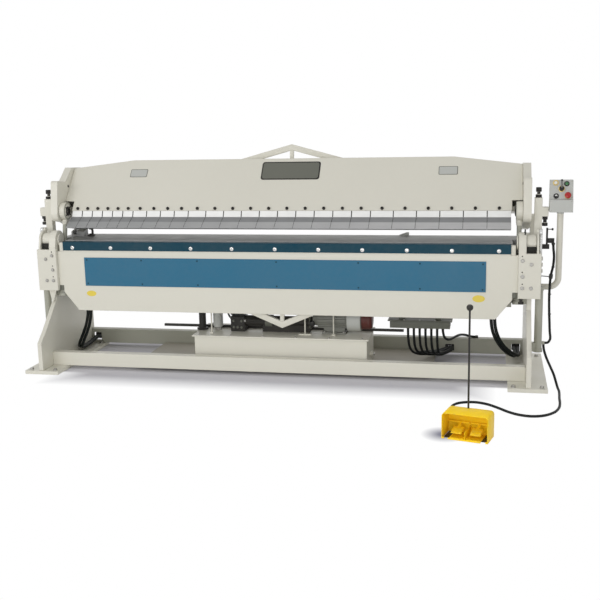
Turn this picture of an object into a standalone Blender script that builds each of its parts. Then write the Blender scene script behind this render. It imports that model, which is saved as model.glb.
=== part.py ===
"""Hydraulic box and pan brake with a ten foot finger run. Metres, +Z up, operator on the -Y side.

The pieces are laid out in the machine's own frame: X = 0 at the middle of the finger run, Y = 0 at the
bend line, which is the apron's hinge axis, and Z = 0 on the floor. The clamp beam and its fingers are drawn
closed on the bed and then tilted open about their rear pivots. At the end the whole machine is moved so
that its origin lies on the floor under the middle of its bounding box.
"""

import math

import bmesh
import bpy
from mathutils import Matrix, Vector

INCH = 0.0254
SEAT = 0.0003
RUN_CLEAR = 0.003
PIN_CLEAR = 0.0006
ROD_CLEAR = 0.0005

FINGER_INCHES = (3,) * 6 + (4,) * 4 + (5,) * 10 + (6,) * 6
FINGER_GROUPS = {"fingers_narrow": (0, 6), "fingers_small": (6, 10), "fingers_medium": (10, 20),
                 "fingers_wide": (20, 26)}
RUN_HALF = sum(FINGER_INCHES) * INCH / 2
FINGER_SPLIT = 0.002
FINGER_SETBACK = 0.012
FINGER_HEIGHT = 0.125
TOE_RISE = 0.046
TOE_REACH = 0.051
STEP_RISE = 0.036
STEP_REACH = 0.054
SHOULDER_REACH = 0.009
SOLE_LENGTH = 0.173
SOLE_EDGE = 0.002
HEEL_RISE = 0.030
HEEL_REACH = 0.015
RAIL_DEPTH = 0.030
RAIL_LOW = 0.045
RAIL_HIGH = 0.100

BED_TOP = 0.900
BED_DEPTH = 0.381
BED_PLATE = 0.040
BED_HALF = RUN_HALF + 0.011
BED_NOSE = 0.006
BED_STEP_Y = 0.170
GIRDER_BOTTOM = 0.480
GIRDER_FRONT = 0.030
GIRDER_REAR = 0.350
GIRDER_WALL = 0.020

BLOCK_INNER = RUN_HALF + 0.047
BLOCK_WIDTH = 0.140
BLOCK_OUTER = BLOCK_INNER + BLOCK_WIDTH
SIDE_X = BLOCK_INNER + BLOCK_WIDTH / 2 + 0.004
SIDE_PLATE = 0.030
SIDE_INSIDE = SIDE_X - SIDE_PLATE / 2
SIDE_OUTSIDE = SIDE_X + SIDE_PLATE / 2 + SEAT
SIDE_REAR = 0.600
SIDE_FRONT = -0.270
SIDE_TOP = 0.895
SIDE_KNEE_Y = -0.180
SIDE_KNEE_Z = 0.294
SIDE_TOE_Z = 0.218
SIDE_NECK_Z = 0.470
FOOT_INNER = SIDE_X - 0.127
FOOT_OUTER = SIDE_X + 0.118
FOOT_PLATE = 0.025
FOOT_FRONT = -0.280
FOOT_REAR = 0.620
FOOT_HOLE_R = 0.011
FOOT_HOLE_INSET = 0.035
FOOT_HOLE_BACK = 0.060

FRONT_BEAM_Y = -0.115
FRONT_BEAM_TOP = 0.121
REAR_BEAM_Y = 0.560
REAR_BEAM_TOP = 0.134
BEAM_FLANGE = 0.060
BEAM_WALL = 0.010
NOTCH_CLEAR = 0.004
CABLE_PORT = 0.060
PORT_X = SIDE_X - 0.060
PORT_Z = 0.0755
TRAY_HALF = 1.030
TRAY_PLATE = 0.006

HINGE_Z = 0.905
PIN_R = 0.020
PIN_HEAD = 0.009
PIN_HEAD_R = 0.045
EAR_X = SIDE_X + 0.005
EAR_WIDTH = 0.058
EAR_R = 0.050
EAR_TAIL = 0.090
EAR_BOTTOM = 0.800
CHEEK_OUTER = BLOCK_OUTER - 0.016
BLOCK_BOTTOM = 0.557
BLOCK_FRONT = -0.078
BLOCK_BACK = -0.018
CHEEK_R = 0.066
SLOT_BOTTOM = 0.845
CHEEK_DROP = 0.040
CRANK_R = 0.070
CRANK_LUG_R = 0.020
APRON_RANGE = math.radians(135)

APRON_FRONT = -0.050
APRON_BACK = -0.020
APRON_TOP = 0.897
APRON_BOTTOM = 0.413
APRON_WING_BOTTOM = 0.590
APRON_WING_TOP = 0.830
APRON_HALF = BLOCK_INNER - 0.033
APRON_CHAMFER_Z = 0.542
APRON_CHAMFER_X = APRON_HALF - 0.104
BLADE_BAR_BOTTOM = 0.838
BLADE_BAR_HALF = RUN_HALF - 0.001
BLADE_BAR_THICK = 0.008
BLADE_LIP = 0.004
COVER_HALF = RUN_HALF - 0.152
COVER_BOTTOM = 0.590
COVER_TOP = 0.789
COVER_THICK = 0.004
TRUSS_BAR = 0.040
TRUSS_DEPTH = 0.030
APRON_TRUSS_HALF = 0.275
APRON_TRUSS_DROP = 0.100

PIVOT_Y = 0.560
PIVOT_Z = 0.980
PIVOT_R = 0.025
ARM_INNER = SIDE_X - 0.048
ARM_THICK = 0.051
ARM_FRONT = 0.035
ARM_CHIN_Z = 0.996
ARM_CHIN_R = 0.048
ARM_PAD_TOP = 1.232
ARM_PAD_BACK = 0.155
ARM_PAD_CORNER = 0.020
ARM_LEAN_Y = 0.260
ARM_BELLY_Z = 0.922
ARM_TAIL_R = 0.060
ARM_EYE_Y = 0.113
ARM_EYE_Z = 1.023
NOSE_LIFT = 0.088
BEAM_NOSE_Y = 0.123
BEAM_REAR_Y = 0.470
BEAM_TOP = 1.403
BEAM_LEAN_Y = 0.338
BEAM_END_TOP = 1.345
BEAM_FLAT_HALF = RUN_HALF - 0.380
BEAM_PLATE = 0.022
BEAM_NOTCH_X = RUN_HALF + 0.006
BEAM_NOTCH_Y = 0.215
BEAM_NOTCH_Z = 1.000
TOP_TRUSS_HALF = 0.386
TOP_TRUSS_RISE = 0.092

LIFT_ROD_R = 0.016
LIFT_ROD_TAIL = 0.120
LIFT_EYE_R = 0.060
LIFT_EYE_BORE = 0.034
LIFT_EYE_WIDTH = 0.042
LIFT_X = ARM_INNER - 0.001 - LIFT_EYE_WIDTH / 2
ARM_PIN_R = 0.030
ARM_PIN = 0.050
LIFT_BARREL_R = 0.032
LIFT_BARREL_TOP = 0.800
LIFT_BARREL_BOTTOM = 0.500
BARREL_LUG_LOW = 0.005
BARREL_LUG_HIGH = 0.060
BARREL_END = 0.020

APRON_ROD_R = 0.010
APRON_ROD_X = CHEEK_OUTER + RUN_CLEAR + APRON_ROD_R
APRON_ROD_TAIL = 0.050
APRON_BARREL_R = 0.025
APRON_BARREL_TOP = 0.620
APRON_BARREL_BOTTOM = 0.190

POST_INNER = SIDE_X + 0.023
POST_OUTER = POST_INNER + 0.048
POST_FRONT = 0.100
POST_REAR = 0.150
POST_TOP = 1.180
POST_BOTTOM = 0.680
STOP_BLOCK_OUTER = POST_OUTER + 0.039
STOP_BLOCK_LOW = 1.060
STOP_BLOCK_HIGH = 1.120
STOP_SCREW_LOW = 1.000
STOP_SCREW_R = 0.015
PIVOT_POST_LOW = 0.700
PIVOT_POST_R = 0.050
PIVOT_POST_THICK = 0.030
PIVOT_POST_REACH = 0.100

TANK_HALF = 0.600
TANK_FRONT = -0.030
TANK_REAR = 0.330
TANK_TOP = 0.252
DRAIN_Y = 0.140
DRAIN_Z = 0.112
LID_EDGE = 0.012
LID_PLATE = 0.008
DECK = TANK_TOP + SEAT
PACK_Y = 0.150
MOTOR_X = 0.245
MOTOR_R = 0.062
MOTOR_FINS = 16
MOTOR_FIN = 0.007
MOTOR_BODY = 0.202
MOTOR_COWL = 0.097
MOTOR_AXIS_Z = DECK + 0.100
MOTOR_FOOT_X = (0.275, 0.440)
PUMP_R = 0.038
PUMP_X = -0.150
VALVE_X = -0.375
VALVE_WIDTH = 0.100
RETURN_X = -0.595
RETURN_R = 0.025
FILTER_X = -0.480
FILTER_R = 0.032
PIPE_R = 0.005
PIPE_BASES = ((-0.493, 0.035, 0.012), (0.165, 0.055, 0.045), (0.362, 0.060, 0.014))
TIE_BAR_X = (-0.906, 0.823)
TIE_BAR_Y = 0.215
TIE_BAR_SIDE = 0.017

JUNCTION_X = 0.735
JUNCTION_WIDTH = 0.405
JUNCTION_Y = 0.150
JUNCTION_DEPTH = 0.120
JUNCTION_BOTTOM = 0.295
JUNCTION_TOP = 0.348
JUNCTION_FLANGE = 0.014
JUNCTION_STRAP = 0.040

CABLE_R = 0.007
CABLE_COUNT = 6
CABLE_FIRST_X = 0.854
CABLE_PITCH = 0.0395
CABLE_EXIT_Y = 0.210
CABLE_PORT_X = 1.1225
CABLE_LOW_Z = 0.057
CABLE_ROW = 0.0175
LEAD_CLIP = 0.017
LEAD_CLIP_Z = (0.240, 0.258)
HOSE_R = 0.011
HOSE_PITCH = 0.0232
LEAD_R = 0.0055

PENDANT_TUBE_R = 0.020
PENDANT_TUBE_Y = 0.130
PENDANT_TUBE_X = SIDE_X + 0.185
PENDANT_TUBE_Z = 0.600
PENDANT_BEND = 0.060
PENDANT_WIDTH = 0.143
PENDANT_BOTTOM = 1.090
PENDANT_TOP = 1.290
PENDANT_BACK = PENDANT_TUBE_Y + 0.030
PENDANT_TOP_DEPTH = 0.050
PENDANT_STEP_DEPTH = 0.078
PENDANT_BASE_DEPTH = 0.098
PENDANT_STEP_RISE = 0.085
PENDANT_STEP_DROP = 0.007

BUTTON_BEZEL_R = 0.0145
BUTTON_BEZEL = 0.004
BUTTON_R = 0.0105
BUTTON_RISE = 0.006
BUTTON_TAIL = 0.008
BUTTON_TRAVEL = 0.003
STOP_STEM_R = 0.008
STOP_HEAD_R = 0.019
STOP_RISE = 0.023
STOP_HEAD = 0.012
STOP_TRAVEL = 0.004
SELECTOR_R = 0.016
SELECTOR_LOW = 0.0045
SELECTOR_RISE = 0.0165
SELECTOR_LEVER = 0.052
SELECTOR_LEVER_LOW = 0.0115
PLUNGER_CLEAR = 0.0006
BUTTONS = {"button_white": (-0.036, 0.1010), "button_green": (0.031, 0.0950), "button_split": (-0.033, 0.0170)}
STOP_PLACE = (0.038, 0.0200)
SELECTOR_PLACE = (0.000, 0.0630)

SWITCH_Y = 0.125
SWITCH_BAR_X = STOP_BLOCK_OUTER - 0.010
SWITCH_BAR = 0.012
SWITCH_LOW = 0.888
SWITCH_HIGH = 0.918
SWITCH_OUT = 0.040
SWITCH_BRACKET = (0.850, 0.878)

SHEET_STOP_X = -(ARM_INNER - 0.007)
SHEET_STOP_WIDTH = 0.100
SHEET_STOP_Y = 0.230
SHEET_STOP_DEPTH = 0.070
SHEET_STOP_RISE = 0.050

PEDAL_CORNER = (1.155, -1.179)
PEDAL_YAW = math.radians(-14)
PEDAL_WIDTH = 0.254
PEDAL_DEPTH = 0.150
PEDAL_HEIGHT = 0.135
PEDAL_SHELL = 0.004
PEDAL_CORNER_R = 0.018
PEDAL_DIVIDER = 0.076
PEDAL_AXIS_Y = 0.120
PEDAL_AXIS_Z = 0.064
PEDAL_SIDE_GAP = 0.006
PEDAL_SPINDLE_R = 0.005
POLE_R = 0.007
POLE_LENGTH = 0.540
GLAND_X = 0.030
GLAND_Z = 0.030
GLAND_LENGTH = 0.030

CONTROL_LEAD = (
    (1.7915, 0.125, 0.884), (1.7935, 0.123, 0.850), (1.798, 0.114, 0.800), (1.799, 0.098, 0.740),
    (1.795, 0.086, 0.680), (1.792, 0.080, 0.610), (1.792, 0.078, 0.540), (1.793, 0.075, 0.460),
    (1.794, 0.070, 0.380), (1.793, 0.062, 0.320), (1.787, 0.050, 0.276), (1.777, 0.037, 0.255),
    (1.764, 0.0305, 0.2492), (1.7508, 0.030, 0.249),
)
PEDAL_LEAD = (
    (1.7440, 0.030, 0.2397), (1.7448, 0.029, 0.222), (1.751, 0.022, 0.192), (1.766, 0.006, 0.150),
    (1.788, -0.020, 0.105),
    (1.808, -0.060, 0.065), (1.820, -0.110, 0.030), (1.827, -0.170, 0.010), (1.831, -0.240, 0.0062),
    (1.828, -0.320, 0.0058), (1.823, -0.400, 0.0058), (1.820, -0.490, 0.0058), (1.808, -0.585, 0.0058),
    (1.776, -0.672, 0.0058), (1.717, -0.738, 0.0058), (1.645, -0.762, 0.0058), (1.575, -0.744, 0.0058),
    (1.515, -0.698, 0.0058), (1.455, -0.628, 0.0058), (1.396, -0.570, 0.0058), (1.332, -0.540, 0.0058),
    (1.268, -0.546, 0.0058), (1.216, -0.579, 0.0058), (1.187, -0.645, 0.0058), (1.190, -0.722, 0.0058),
    (1.213, -0.796, 0.0062), (1.236, -0.866, 0.0105), (1.2425, -0.926, 0.0215), (1.2362, -0.9774, 0.0298),
    (1.2306, -0.9998, 0.0300), (1.22773, -1.01132, 0.0300),
)
HOSE_RIGHT = (
    (1.420, 0.200, 0.4750), (1.420, 0.200, 0.410), (1.422, 0.200, 0.350), (1.428, 0.202, 0.300), (1.442, 0.208, 0.250),
    (1.465, 0.220, 0.200), (1.496, 0.238, 0.155), (1.532, 0.262, 0.118), (1.563, 0.296, 0.092),
    (1.583, 0.342, 0.076), (1.591, 0.400, 0.070), (1.589, 0.460, 0.070), (1.586, 0.515, 0.074),
    (1.585, 0.560, 0.0755), (1.585, 0.585, 0.0755),
)
HOSE_LEFT = (
    (-1.490, 0.232, 0.4750), (-1.490, 0.232, 0.410), (-1.491, 0.232, 0.345), (-1.497, 0.232, 0.295), (-1.512, 0.232, 0.240),
    (-1.534, 0.232, 0.185), (-1.558, 0.234, 0.135), (-1.579, 0.242, 0.094), (-1.594, 0.270, 0.065),
    (-1.600, 0.320, 0.052), (-1.600, 0.380, 0.051), (-1.597, 0.440, 0.055), (-1.591, 0.500, 0.067),
    (-1.586, 0.555, 0.0755), (-1.585, 0.585, 0.0755),
)
CABLE_DROP = ((0.00, 0.210, 0.2900), (0.00, 0.210, 0.2500), (0.01, 0.212, 0.2000), (0.04, 0.220, 0.1500),
              (0.12, 0.245, 0.1080))
CABLE_RUN = ((0.29, 0.295, 0.0220), (0.52, 0.360, 0.0080), (0.76, 0.435, 0.0020), (0.95, 0.500, 0.0000))
FEED_CABLE = (
    (1.090, 0.210, 0.2900), (1.091, 0.213, 0.260), (1.100, 0.226, 0.222), (1.118, 0.258, 0.198),
    (1.142, 0.310, 0.189), (1.170, 0.380, 0.190), (1.200, 0.450, 0.187), (1.232, 0.520, 0.170),
    (1.258, 0.566, 0.152), (1.282, 0.586, 0.143), (1.3097, 0.590, 0.1418),
)

CORDS = ("control_loom", "hydraulic_hoses_right", "hydraulic_hoses_left", "control_lead", "pedal_lead")

OPEN_ANGLE = math.asin(NOSE_LIFT / math.hypot(PIVOT_Y - FINGER_SETBACK, PIVOT_Z - BED_TOP))


def clear_scene():
    for obj in list(bpy.data.objects):
        bpy.data.objects.remove(obj, do_unlink=True)


def material(name, colour, roughness, metallic=0.0):
    made = bpy.data.materials.new(name)
    made.use_nodes = True
    shader = made.node_tree.nodes["Principled BSDF"]
    shader.inputs["Base Color"].default_value = (*colour, 1.0)
    shader.inputs["Roughness"].default_value = roughness
    shader.inputs["Metallic"].default_value = metallic
    return made


def empty(name, at, parent=None):
    made = bpy.data.objects.new(name, None)
    bpy.context.scene.collection.objects.link(made)
    made.parent = parent
    made.location = at
    return made


def link_shape(name, bm, paint, frame):
    """Adds the mesh as an object drawn in machine coordinates, carried by the empty called frame."""
    bmesh.ops.recalc_face_normals(bm, faces=bm.faces)
    mesh = bpy.data.meshes.new(name)
    bm.to_mesh(mesh)
    bm.free()
    mesh.materials.append(paint)
    made = bpy.data.objects.new(name, mesh)
    bpy.context.scene.collection.objects.link(made)
    made.parent = frame.empty
    made.location = -frame.at
    return made


class Frame:
    """An empty that carries pieces drawn in machine coordinates and turns them about its own place."""

    def __init__(self, name, at=(0.0, 0.0, 0.0), parent=None):
        self.at = Vector(at)
        self.empty = empty(name, self.at, parent.empty if parent else None)


def to_xyz(along, u, v, w):
    """Outline coordinates (u, v) and the extrusion's w, as X, Y, Z."""
    return {"X": (w, u, v), "Y": (u, w, v), "Z": (u, v, w)}[along]


def prism(name, outline, span, along, paint, frame):
    """A flat outline extruded along one axis. Along X it is (Y, Z), along Y (X, Z), along Z (X, Y)."""
    bm = bmesh.new()
    corners = [bm.verts.new(to_xyz(along, u, v, span[0])) for u, v in outline]
    face = bm.faces.new(corners)
    moved = bmesh.ops.extrude_face_region(bm, geom=[face])["geom"]
    shift = Vector(to_xyz(along, 0, 0, span[1] - span[0]))
    bmesh.ops.translate(bm, verts=[v for v in moved if isinstance(v, bmesh.types.BMVert)], vec=shift)
    return link_shape(name, bm, paint, frame)


def block(name, x, y, z, paint, frame):
    return prism(name, [(x[0], y[0]), (x[1], y[0]), (x[1], y[1]), (x[0], y[1])], z, "Z", paint, frame)


def rings_solid(name, rings, paint, frame, round_trip=False):
    """Skins a row of equal loops. The ends are capped, or joined to each other in a round trip."""
    bm = bmesh.new()
    loops = [[bm.verts.new(point) for point in ring] for ring in rings]
    pairs = list(zip(loops, loops[1:] + loops[:1])) if round_trip else list(zip(loops, loops[1:]))
    for first, second in pairs:
        for i in range(len(first)):
            j = (i + 1) % len(first)
            bm.faces.new((first[i], first[j], second[j], second[i]))
    if not round_trip:
        bm.faces.new(loops[0])
        bm.faces.new(loops[-1])
    return link_shape(name, bm, paint, frame)


def turned(name, profile, start, direction, paint, frame, sides=18):
    """A solid turned about the line from start: profile holds (distance along, radius) pairs."""
    turn = Vector((0, 0, 1)).rotation_difference(Vector(direction)).to_matrix()
    rings = []
    for along, radius in profile:
        angles = [2 * math.pi * (i + 0.5) / sides for i in range(sides)]
        ring = [Vector((radius * math.cos(a), radius * math.sin(a), along)) for a in angles]
        rings.append([Vector(start) + turn @ point for point in ring])
    made = rings_solid(name, rings, paint, frame)
    made.data.shade_smooth()
    made.data.set_sharp_from_angle(angle=math.radians(40))
    return made


def bar(name, start, end, radius, paint, frame, sides=18):
    line = Vector(end) - Vector(start)
    return turned(name, [(0, radius), (line.length, radius)], start, line, paint, frame, sides)


def combine(target, operation, *tools):
    """Boolean modifiers on the target, with each tool kept as a hidden helper."""
    for tool in tools:
        step = target.modifiers.new(tool.name, "BOOLEAN")
        step.operation = operation
        step.solver = "EXACT"
        step.object = tool
        tool.hide_render = True
        tool.display_type = "WIRE"
    return target


def fuse(target, *tools):
    return combine(target, "UNION", *tools)


def cut(target, *tools):
    return combine(target, "DIFFERENCE", *tools)


def arc(centre, radius, start, end, steps):
    """Points of an arc in degrees, anticlockwise when end is greater."""
    angles = [math.radians(start + (end - start) * i / steps) for i in range(steps + 1)]
    return [(centre[0] + radius * math.cos(a), centre[1] + radius * math.sin(a)) for a in angles]


def smooth_path(points, pieces):
    """A Catmull-Rom curve through the points, cut into the given number of pieces for each stretch."""
    knots = [Vector(p) for p in points]
    knots = [2 * knots[0] - knots[1]] + knots + [2 * knots[-1] - knots[-2]]
    path = []
    for a, b, c, d in zip(knots, knots[1:], knots[2:], knots[3:]):
        for i in range(pieces):
            t = i / pieces
            path.append(0.5 * (2 * b + (c - a) * t + (2 * a - 5 * b + 4 * c - d) * t * t
                               + (3 * b - a - 3 * c + d) * t ** 3))
    return path + [knots[-2]]


def tube(name, points, radius, paint, frame, resolution=2):
    """A round bar along a path of points, as a curve with a bevel and filled caps."""
    data = bpy.data.curves.new(name, "CURVE")
    data.dimensions = "3D"
    data.bevel_depth = radius
    data.bevel_resolution = resolution
    data.use_fill_caps = True
    line = data.splines.new("POLY")
    line.points.add(len(points) - 1)
    for spot, point in zip(line.points, points):
        spot.co = (*point, 1.0)
    data.materials.append(paint)
    made = bpy.data.objects.new(name, data)
    bpy.context.scene.collection.objects.link(made)
    made.parent = frame.empty
    made.location = -frame.at
    return made


def side_names(stem):
    return ((f"{stem}_left", -1), (f"{stem}_right", 1))


def across(side, near, far):
    """A span of X on one side of the machine, from its inner to its outer distance."""
    return (side * near, side * far) if side > 0 else (side * far, side * near)


def beside(path, shift, lean=Vector((0.0, 0.8, 0.6))):
    """The path moved sideways by shift, square to its own direction and to the leaning axis."""
    points = [Vector(p) for p in path]
    moved = []
    for i, point in enumerate(points):
        before, after = points[max(i - 1, 0)], points[min(i + 1, len(points) - 1)]
        moved.append(point + shift * (after - before).cross(lean).normalized())
    return moved


def swept(name, path, radius, paint, frame, sides=6):
    """A round bar along a path as a closed mesh, so that Booleans can join it to others."""
    points = [Vector(p) for p in path]
    across_path = (points[1] - points[0]).orthogonal().normalized()
    rings = []
    for i, point in enumerate(points):
        way = (points[min(i + 1, len(points) - 1)] - points[max(i - 1, 0)]).normalized()
        across_path = (across_path - way * across_path.dot(way)).normalized()
        third = way.cross(across_path)
        angles = [2 * math.pi * j / sides for j in range(sides)]
        rings.append([point + radius * (math.cos(a) * across_path + math.sin(a) * third) for a in angles])
    return rings_solid(name, rings, paint, frame)


def make_base(paints, root):
    floor = FOOT_PLATE + SEAT
    outline = [
        (SIDE_FRONT, floor), (SIDE_REAR, floor), (SIDE_REAR, SIDE_TOP), (EAR_TAIL + 0.01, SIDE_TOP),
        (EAR_TAIL + 0.01, EAR_BOTTOM - SEAT), (0.0, EAR_BOTTOM - SEAT), (0.0, SIDE_NECK_Z),
        (SIDE_KNEE_Y, SIDE_KNEE_Z), (SIDE_FRONT, SIDE_TOE_Z),
    ]
    for name, side in side_names("side_plate"):
        made = prism(name, outline, across(side, SIDE_INSIDE, SIDE_X + SIDE_PLATE / 2), "X", paints["beige"], root)
        notch = block(f"{name}_beam_notch", across(side, SIDE_INSIDE - 0.01, SIDE_OUTSIDE + 0.01),
                      (REAR_BEAM_Y - NOTCH_CLEAR, SIDE_REAR + 0.1), (0.0, REAR_BEAM_TOP + NOTCH_CLEAR),
                      paints["beige"], root)
        cut(made, notch)
    for name, side in side_names("foot_plate"):
        foot = block(name, across(side, FOOT_INNER, FOOT_OUTER), (FOOT_FRONT, FOOT_REAR), (0.0, FOOT_PLATE),
                     paints["beige"], root)
        for i, (x, y) in enumerate(foot_holes()):
            cut(foot, bar(f"{name}_hole_{i}", (side * x, y, -0.01), (side * x, y, FOOT_PLATE + 0.01), FOOT_HOLE_R,
                          paints["beige"], root, 12))
    channel("front_beam", FRONT_BEAM_Y, FRONT_BEAM_TOP, SIDE_INSIDE - SEAT, paints["beige"], root)
    rear = channel("rear_beam", REAR_BEAM_Y, REAR_BEAM_TOP, SIDE_X + SIDE_PLATE / 2, paints["beige"], root)
    web = (REAR_BEAM_Y - 0.01, REAR_BEAM_Y + BEAM_WALL + 0.01)
    for name, side in side_names("hose_port"):
        x = across(side, PORT_X - CABLE_PORT / 2, PORT_X + CABLE_PORT / 2)
        cut(rear, block(name, x, web, (PORT_Z - CABLE_PORT / 2, PORT_Z + CABLE_PORT / 2), paints["beige"], root))
    cut(rear, block("cable_port", (CABLE_PORT_X - CABLE_PORT / 2, CABLE_PORT_X + CABLE_PORT / 2), web,
                    (CABLE_LOW_Z - CABLE_R - 0.008, CABLE_LOW_Z + CABLE_R + CABLE_ROW + 0.008), paints["beige"], root))
    under = floor + BEAM_WALL + SEAT
    prism("tray_plate", [(FRONT_BEAM_Y + BEAM_WALL + SEAT, under), (REAR_BEAM_Y - SEAT, under),
                         (REAR_BEAM_Y - SEAT, under + TRAY_PLATE), (FRONT_BEAM_Y + BEAM_WALL + SEAT, under + TRAY_PLATE)],
          (-TRAY_HALF, TRAY_HALF), "X", paints["tan"], root)


def foot_holes():
    """The middles (distance from the centre plane, Y) of one foot plate's bolt holes."""
    inner, outer = FOOT_INNER + FOOT_HOLE_INSET, FOOT_OUTER - FOOT_HOLE_INSET
    return [(x, y) for x in (inner, outer) for y in (FOOT_FRONT + FOOT_HOLE_INSET, SIDE_REAR - FOOT_HOLE_BACK)]


def channel(name, web_y, top, half, paint, root):
    """A channel beam along X, its web towards the operator and its flanges pointing back."""
    low = FOOT_PLATE + SEAT
    inner = web_y + BEAM_WALL
    lip = web_y + BEAM_FLANGE
    outline = [(web_y, low), (lip, low), (lip, low + BEAM_WALL), (inner, low + BEAM_WALL),
               (inner, top - BEAM_WALL), (lip, top - BEAM_WALL), (lip, top), (web_y, top)]
    return prism(name, outline, (-half, half), "X", paint, root)


def make_bed(paints, root):
    plate_under = BED_TOP - BED_PLATE
    reach = SIDE_INSIDE - SEAT
    nose = [(-BED_HALF, BED_NOSE), (BED_HALF, BED_NOSE), (BED_HALF, BED_STEP_Y), (reach, BED_STEP_Y),
            (reach, BED_DEPTH), (-reach, BED_DEPTH), (-reach, BED_STEP_Y), (-BED_HALF, BED_STEP_Y)]
    bed = prism("bed_top_plate", nose, (plate_under, BED_TOP), "Z", paints["steel"], root)
    stop_x = (SHEET_STOP_X, SHEET_STOP_X + SHEET_STOP_WIDTH)
    stop_back = SHEET_STOP_Y + SHEET_STOP_DEPTH
    stop = prism("sheet_stop", [(SHEET_STOP_Y, BED_TOP - 0.005), (stop_back, BED_TOP - 0.005),
                                (stop_back, BED_TOP + SHEET_STOP_RISE), (SHEET_STOP_Y, BED_TOP + SHEET_STOP_RISE * 0.7)],
                 stop_x, "X", paints["steel"], root)
    slot = block("sheet_stop_slot", (stop_x[0] + 0.015, stop_x[0] + 0.042), (SHEET_STOP_Y - 0.01, stop_back - 0.02),
                 (BED_TOP + 0.012, BED_TOP + SHEET_STOP_RISE + 0.01), paints["steel"], root)
    fuse(bed, cut(stop, slot))
    top = plate_under - SEAT
    inside = (GIRDER_FRONT + GIRDER_WALL, GIRDER_REAR - GIRDER_WALL)
    shell = [(GIRDER_FRONT, top), (GIRDER_FRONT, GIRDER_BOTTOM), (GIRDER_REAR, GIRDER_BOTTOM), (GIRDER_REAR, top),
             (inside[1], top), (inside[1], GIRDER_BOTTOM + GIRDER_WALL), (inside[0], GIRDER_BOTTOM + GIRDER_WALL),
             (inside[0], top)]
    girder = prism("bed_girder", shell, (-BED_HALF, BED_HALF), "X", paints["beige"], root)
    for name, side in side_names("girder_end"):
        fuse(girder, block(name, across(side, BED_HALF - GIRDER_WALL, reach), (BED_STEP_Y, GIRDER_REAR),
                           (GIRDER_BOTTOM, top), paints["beige"], root))


def make_trunnions(paints, root):
    """The ear that carries each end of the apron, with its hinge pin."""
    body = [(EAR_TAIL, EAR_BOTTOM), (EAR_TAIL, SIDE_TOP), (0.6 * EAR_R, HINGE_Z + 0.8 * EAR_R)]
    body += arc((0.0, HINGE_Z), EAR_R, 60, 250, 12) + [(0.0, EAR_BOTTOM)]
    head_x = BLOCK_INNER - RUN_CLEAR
    for name, side in side_names("trunnion"):
        ear = prism(name, body, across(side, EAR_X - EAR_WIDTH / 2, EAR_X + EAR_WIDTH / 2), "X", paints["beige"], root)
        pin = bar(f"{name}_pin", (side * (head_x - PIN_HEAD), 0, HINGE_Z), (side * (CHEEK_OUTER - 0.001), 0, HINGE_Z),
                  PIN_R, paints["black"], root)
        head = bar(f"{name}_head", (side * (head_x - PIN_HEAD), 0, HINGE_Z), (side * head_x, 0, HINGE_Z), PIN_HEAD_R,
                   paints["black"], root)
        fuse(ear, pin, head)


def make_posts(paints, root):
    """The guide posts in front and the pivot posts behind, on the outside of the side plates."""
    middle_y = (POST_FRONT + POST_REAR) / 2
    for name, side in side_names("guide_post"):
        outline = [(SIDE_OUTSIDE, POST_BOTTOM), (POST_OUTER, POST_BOTTOM), (POST_OUTER, POST_TOP), (POST_INNER, POST_TOP),
                   (POST_INNER, EAR_BOTTOM), (SIDE_OUTSIDE, EAR_BOTTOM)]
        post = prism(name, [(side * x, z) for x, z in outline], (POST_FRONT, POST_REAR), "Y", paints["beige"], root)
        shelf = block(f"{name}_shelf", across(side, POST_OUTER - 0.005, STOP_BLOCK_OUTER), (POST_FRONT, POST_REAR),
                      (STOP_BLOCK_LOW, STOP_BLOCK_HIGH), paints["beige"], root)
        adjuster = [(0, 0.018), (0.022, 0.018), (0.028, 0.009), (0.038, 0.009), (0.042, 0.016), (0.068, 0.016)]
        screw = turned(f"{name}_adjuster", adjuster, (side * (POST_INNER + POST_OUTER) / 2, middle_y, POST_TOP - 0.004),
                       (0, 0, 1), paints["black"], root, 12)
        waist = [(0, 0.016), (0.016, 0.016), (0.022, 0.010), (0.038, 0.010), (0.044, STOP_SCREW_R),
                 (STOP_BLOCK_LOW + 0.002 - STOP_SCREW_LOW, STOP_SCREW_R)]
        lower = turned(f"{name}_stop_screw", waist, (side * (STOP_BLOCK_OUTER - 0.020), middle_y, STOP_SCREW_LOW),
                       (0, 0, 1), paints["black"], root, 12)
        fuse(post, shelf, screw, lower)
    pivot_outer = SIDE_OUTSIDE + PIVOT_POST_THICK
    for name, side in side_names("pivot_post"):
        outline = [(PIVOT_Y - PIVOT_POST_REACH, PIVOT_POST_LOW), (SIDE_REAR, PIVOT_POST_LOW), (PIVOT_Y + PIVOT_POST_R, PIVOT_Z)]
        outline += arc((PIVOT_Y, PIVOT_Z), PIVOT_POST_R, 0, 180, 10)[1:]
        post = prism(name, outline, across(side, SIDE_OUTSIDE, pivot_outer), "X", paints["beige"], root)
        pin = bar(f"{name}_pin", (side * (ARM_INNER - 0.012), PIVOT_Y, PIVOT_Z), (side * (pivot_outer + 0.005), PIVOT_Y, PIVOT_Z),
                  PIVOT_R, paints["steel"], root)
        fuse(post, pin)


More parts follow.
